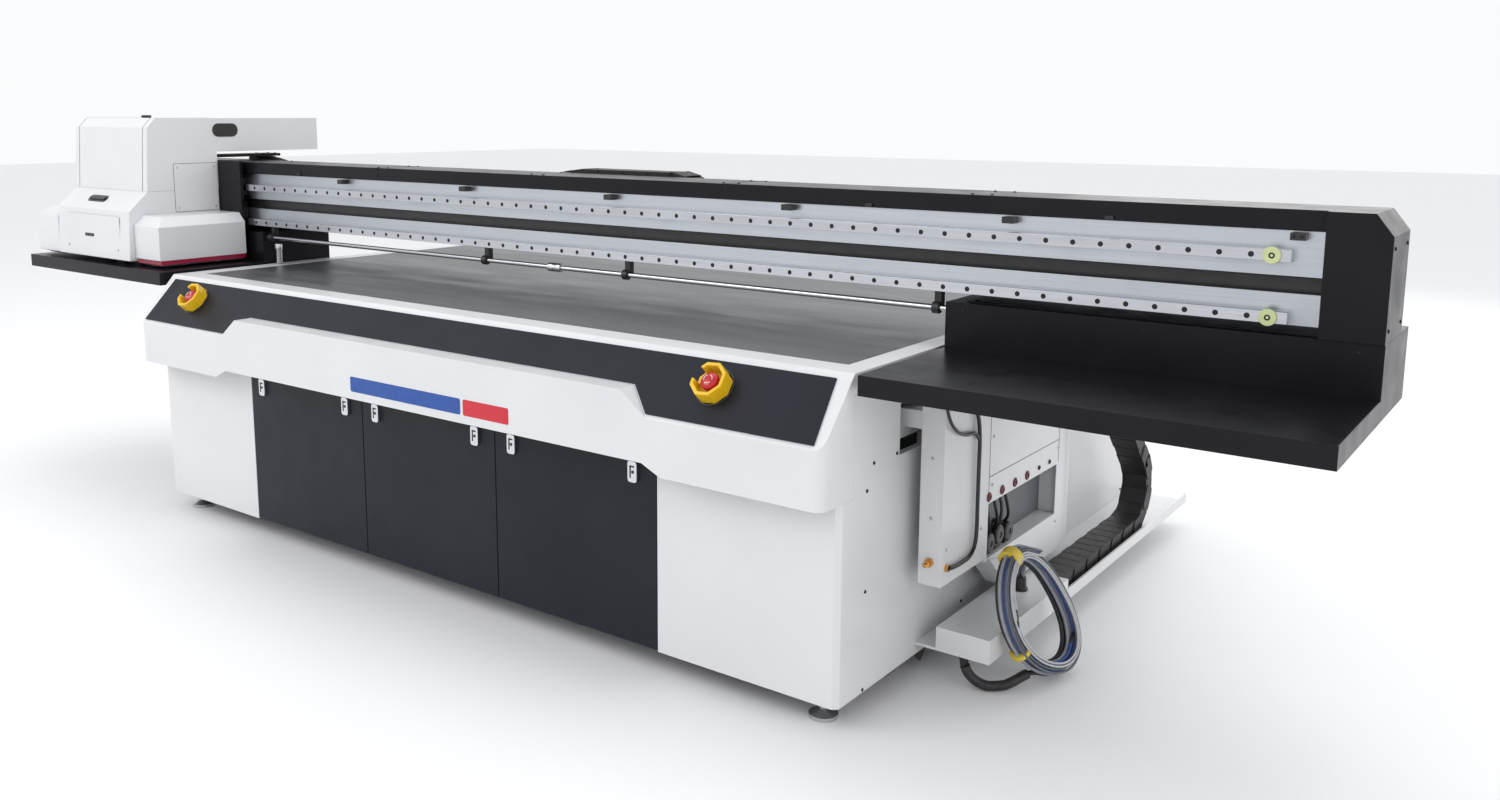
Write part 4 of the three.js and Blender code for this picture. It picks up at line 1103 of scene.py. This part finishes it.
def carriage_details():
    """Seams, panels, handles, lamp filters, nozzle plates and screws of the carriage."""
    middle = (BLOCK_LEFT + BLOCK_RIGHT) / 2
    bm = bmesh.new()
    hood_strip(bm, (BLOCK_RIGHT - 30, BLOCK_RIGHT - 28.4), 1, 0.5)
    hood_strip(bm, (BLOCK_LEFT + 28.4, BLOCK_LEFT + 30), 1, 0.5)
    solid_plate(bm, at(BLOCK_RIGHT - 0.4, 303, 1056), RIGHT, UP, 169, 171, 5, 0.7)
    make("hood_seams", bm, BLACK_PLASTIC, "lift", 0)
    lean = Vector((0, -1, 0.053)).normalized()
    bm = bmesh.new()
    solid_plate(bm, at(middle, 45.6, 897), lean, UP, 372, 128, 10, 2.4)
    make("nose_panel", bm, WHITE, "lift", 0.8)
    bm = bmesh.new()
    solid_plate(bm, at(-1837, 43.2, 889), lean, UP, 62, 11, 4, 1.2)
    make("nose_handle", bm, BLACK_PLASTIC, "lift", 0.3)
    slope = Vector((0, -65, 69)).normalized()
    along = Vector((0, 69, 65)).normalized()
    bm = bmesh.new()
    solid_plate(bm, at(-1837, 84.5, 1015), slope, along, 124, 30, 14, 1.6)
    solid_plate(bm, at(-1837, 83.5, 1016), slope, along, 104, 12, 5, 5)
    solid_plate(bm, at(BLOCK_RIGHT - 0.4, 427, 1257), RIGHT, UP, 101, 48, 23.5, 2.4)
    for i in range(5):
        solid_box(bm, (BLOCK_RIGHT + 1, BLOCK_RIGHT + 4), (392, 462), (1240 + i * 8, 1243 + i * 8))
    solid_turned(bm, at(middle, 270, BLOCK_TOP - 0.3), UP, [(15, 0), (17, 2), (17, 8), (14, 10)], 24)
    make("carriage_fittings", bm, BLACK_PLASTIC, "lift", 0.5)
    bm = bmesh.new()
    solid_plate(bm, at(BLOCK_RIGHT - 0.4, 303, 1056), RIGHT, UP, 166, 168, 4, 1.4)
    solid_plate(bm, at(BLOCK_LEFT + 0.4, 260, 1170), LEFT, UP, 220, 180, 8, 1.8)
    make("access_panels", bm, WHITE, "lift", 0.6)
    bm = bmesh.new()
    screws(bm, [at(BLOCK_RIGHT + 0.8, y, z) for y in (232, 374) for z in (985, 1127)], RIGHT, 3.6, 1.8)
    screws(bm, [at(BLOCK_LEFT - 1.2, y, z) for y in (160, 360) for z in (1090, 1250)], LEFT, 3.6, 1.8)
    nose = [at(x, 44.2 + (z - 897) * 0.053, z) for x in (middle - 172, middle + 172) for z in (845, 949)]
    screws(bm, nose, lean, 3.6, 1.8)
    make("carriage_screws", bm, ZINC, "lift", 0)
    bm = bmesh.new()
    for x in ((BLOCK_RIGHT + 5, LAMP_RIGHT - 0.6), (BLOCK_LEFT - LAMP_WIDTH + 1, BLOCK_LEFT - 5)):
        solid_box(bm, x, (66, 385), (806, 820.6))
    make("lamp_filters", bm, CRIMSON, "lift", 1.2)
    bm = bmesh.new()
    for x in ((BLOCK_RIGHT + 14, LAMP_RIGHT - 10), (BLOCK_LEFT - LAMP_WIDTH + 10, BLOCK_LEFT - 14)):
        solid_box(bm, x, (76, 375), (801, 806))
    make("lamp_windows", bm, GLASS, "lift", 0.5)
    bm = bmesh.new()
    for i in range(4):
        x = -1985 + i * 100
        solid_box(bm, (x + 4, x + 56), (168, 312), (795.4, 797.4))
        for y in (200, 280):
            solid_box(bm, (x + 22, x + 38), (y - 26, y + 26), (794.8, 796))
    make("nozzle_plates", bm, BRASS, "lift", 0.2)
    bm = bmesh.new()
    screws(bm, [at(x, 402, z) for x in (-2070, -1740, -1640, -1460) for z in (1110, 1135)], BACK, 5)
    screws(bm, [at(X_CHAIN_MOVING + x, y, 1166.8) for x in (22, 68) for y in (625, 675)], UP, 5)
    make("plate_screws", bm, ZINC, "carriage", 0)


def motor_details():
    """Cooling fins and a terminal box on the X motor."""
    bm = bmesh.new()
    fins = [at(x, 500, 1010) for x in range(2134, 2204, 7)]
    turned_row(bm, fins, RIGHT, [(43.5, 0), (43.5, 3)], 28)
    solid_box(bm, (2150, 2190), (484, 516), (1050, 1072))
    make("motor_fins", bm, CASTING, "gantry", 0.3)


# ------------------------------------------------------------------ making

camera()
loose_cables()
studio()
dress_nodes()
y_chain()
x_chain()
rail_details()
beam_details()
station_details()
base_details()
accent_stripes()
stop_details()
door_details()
bay_details()
leg_details()
enclosure_details()
carriage_details()
motor_details()
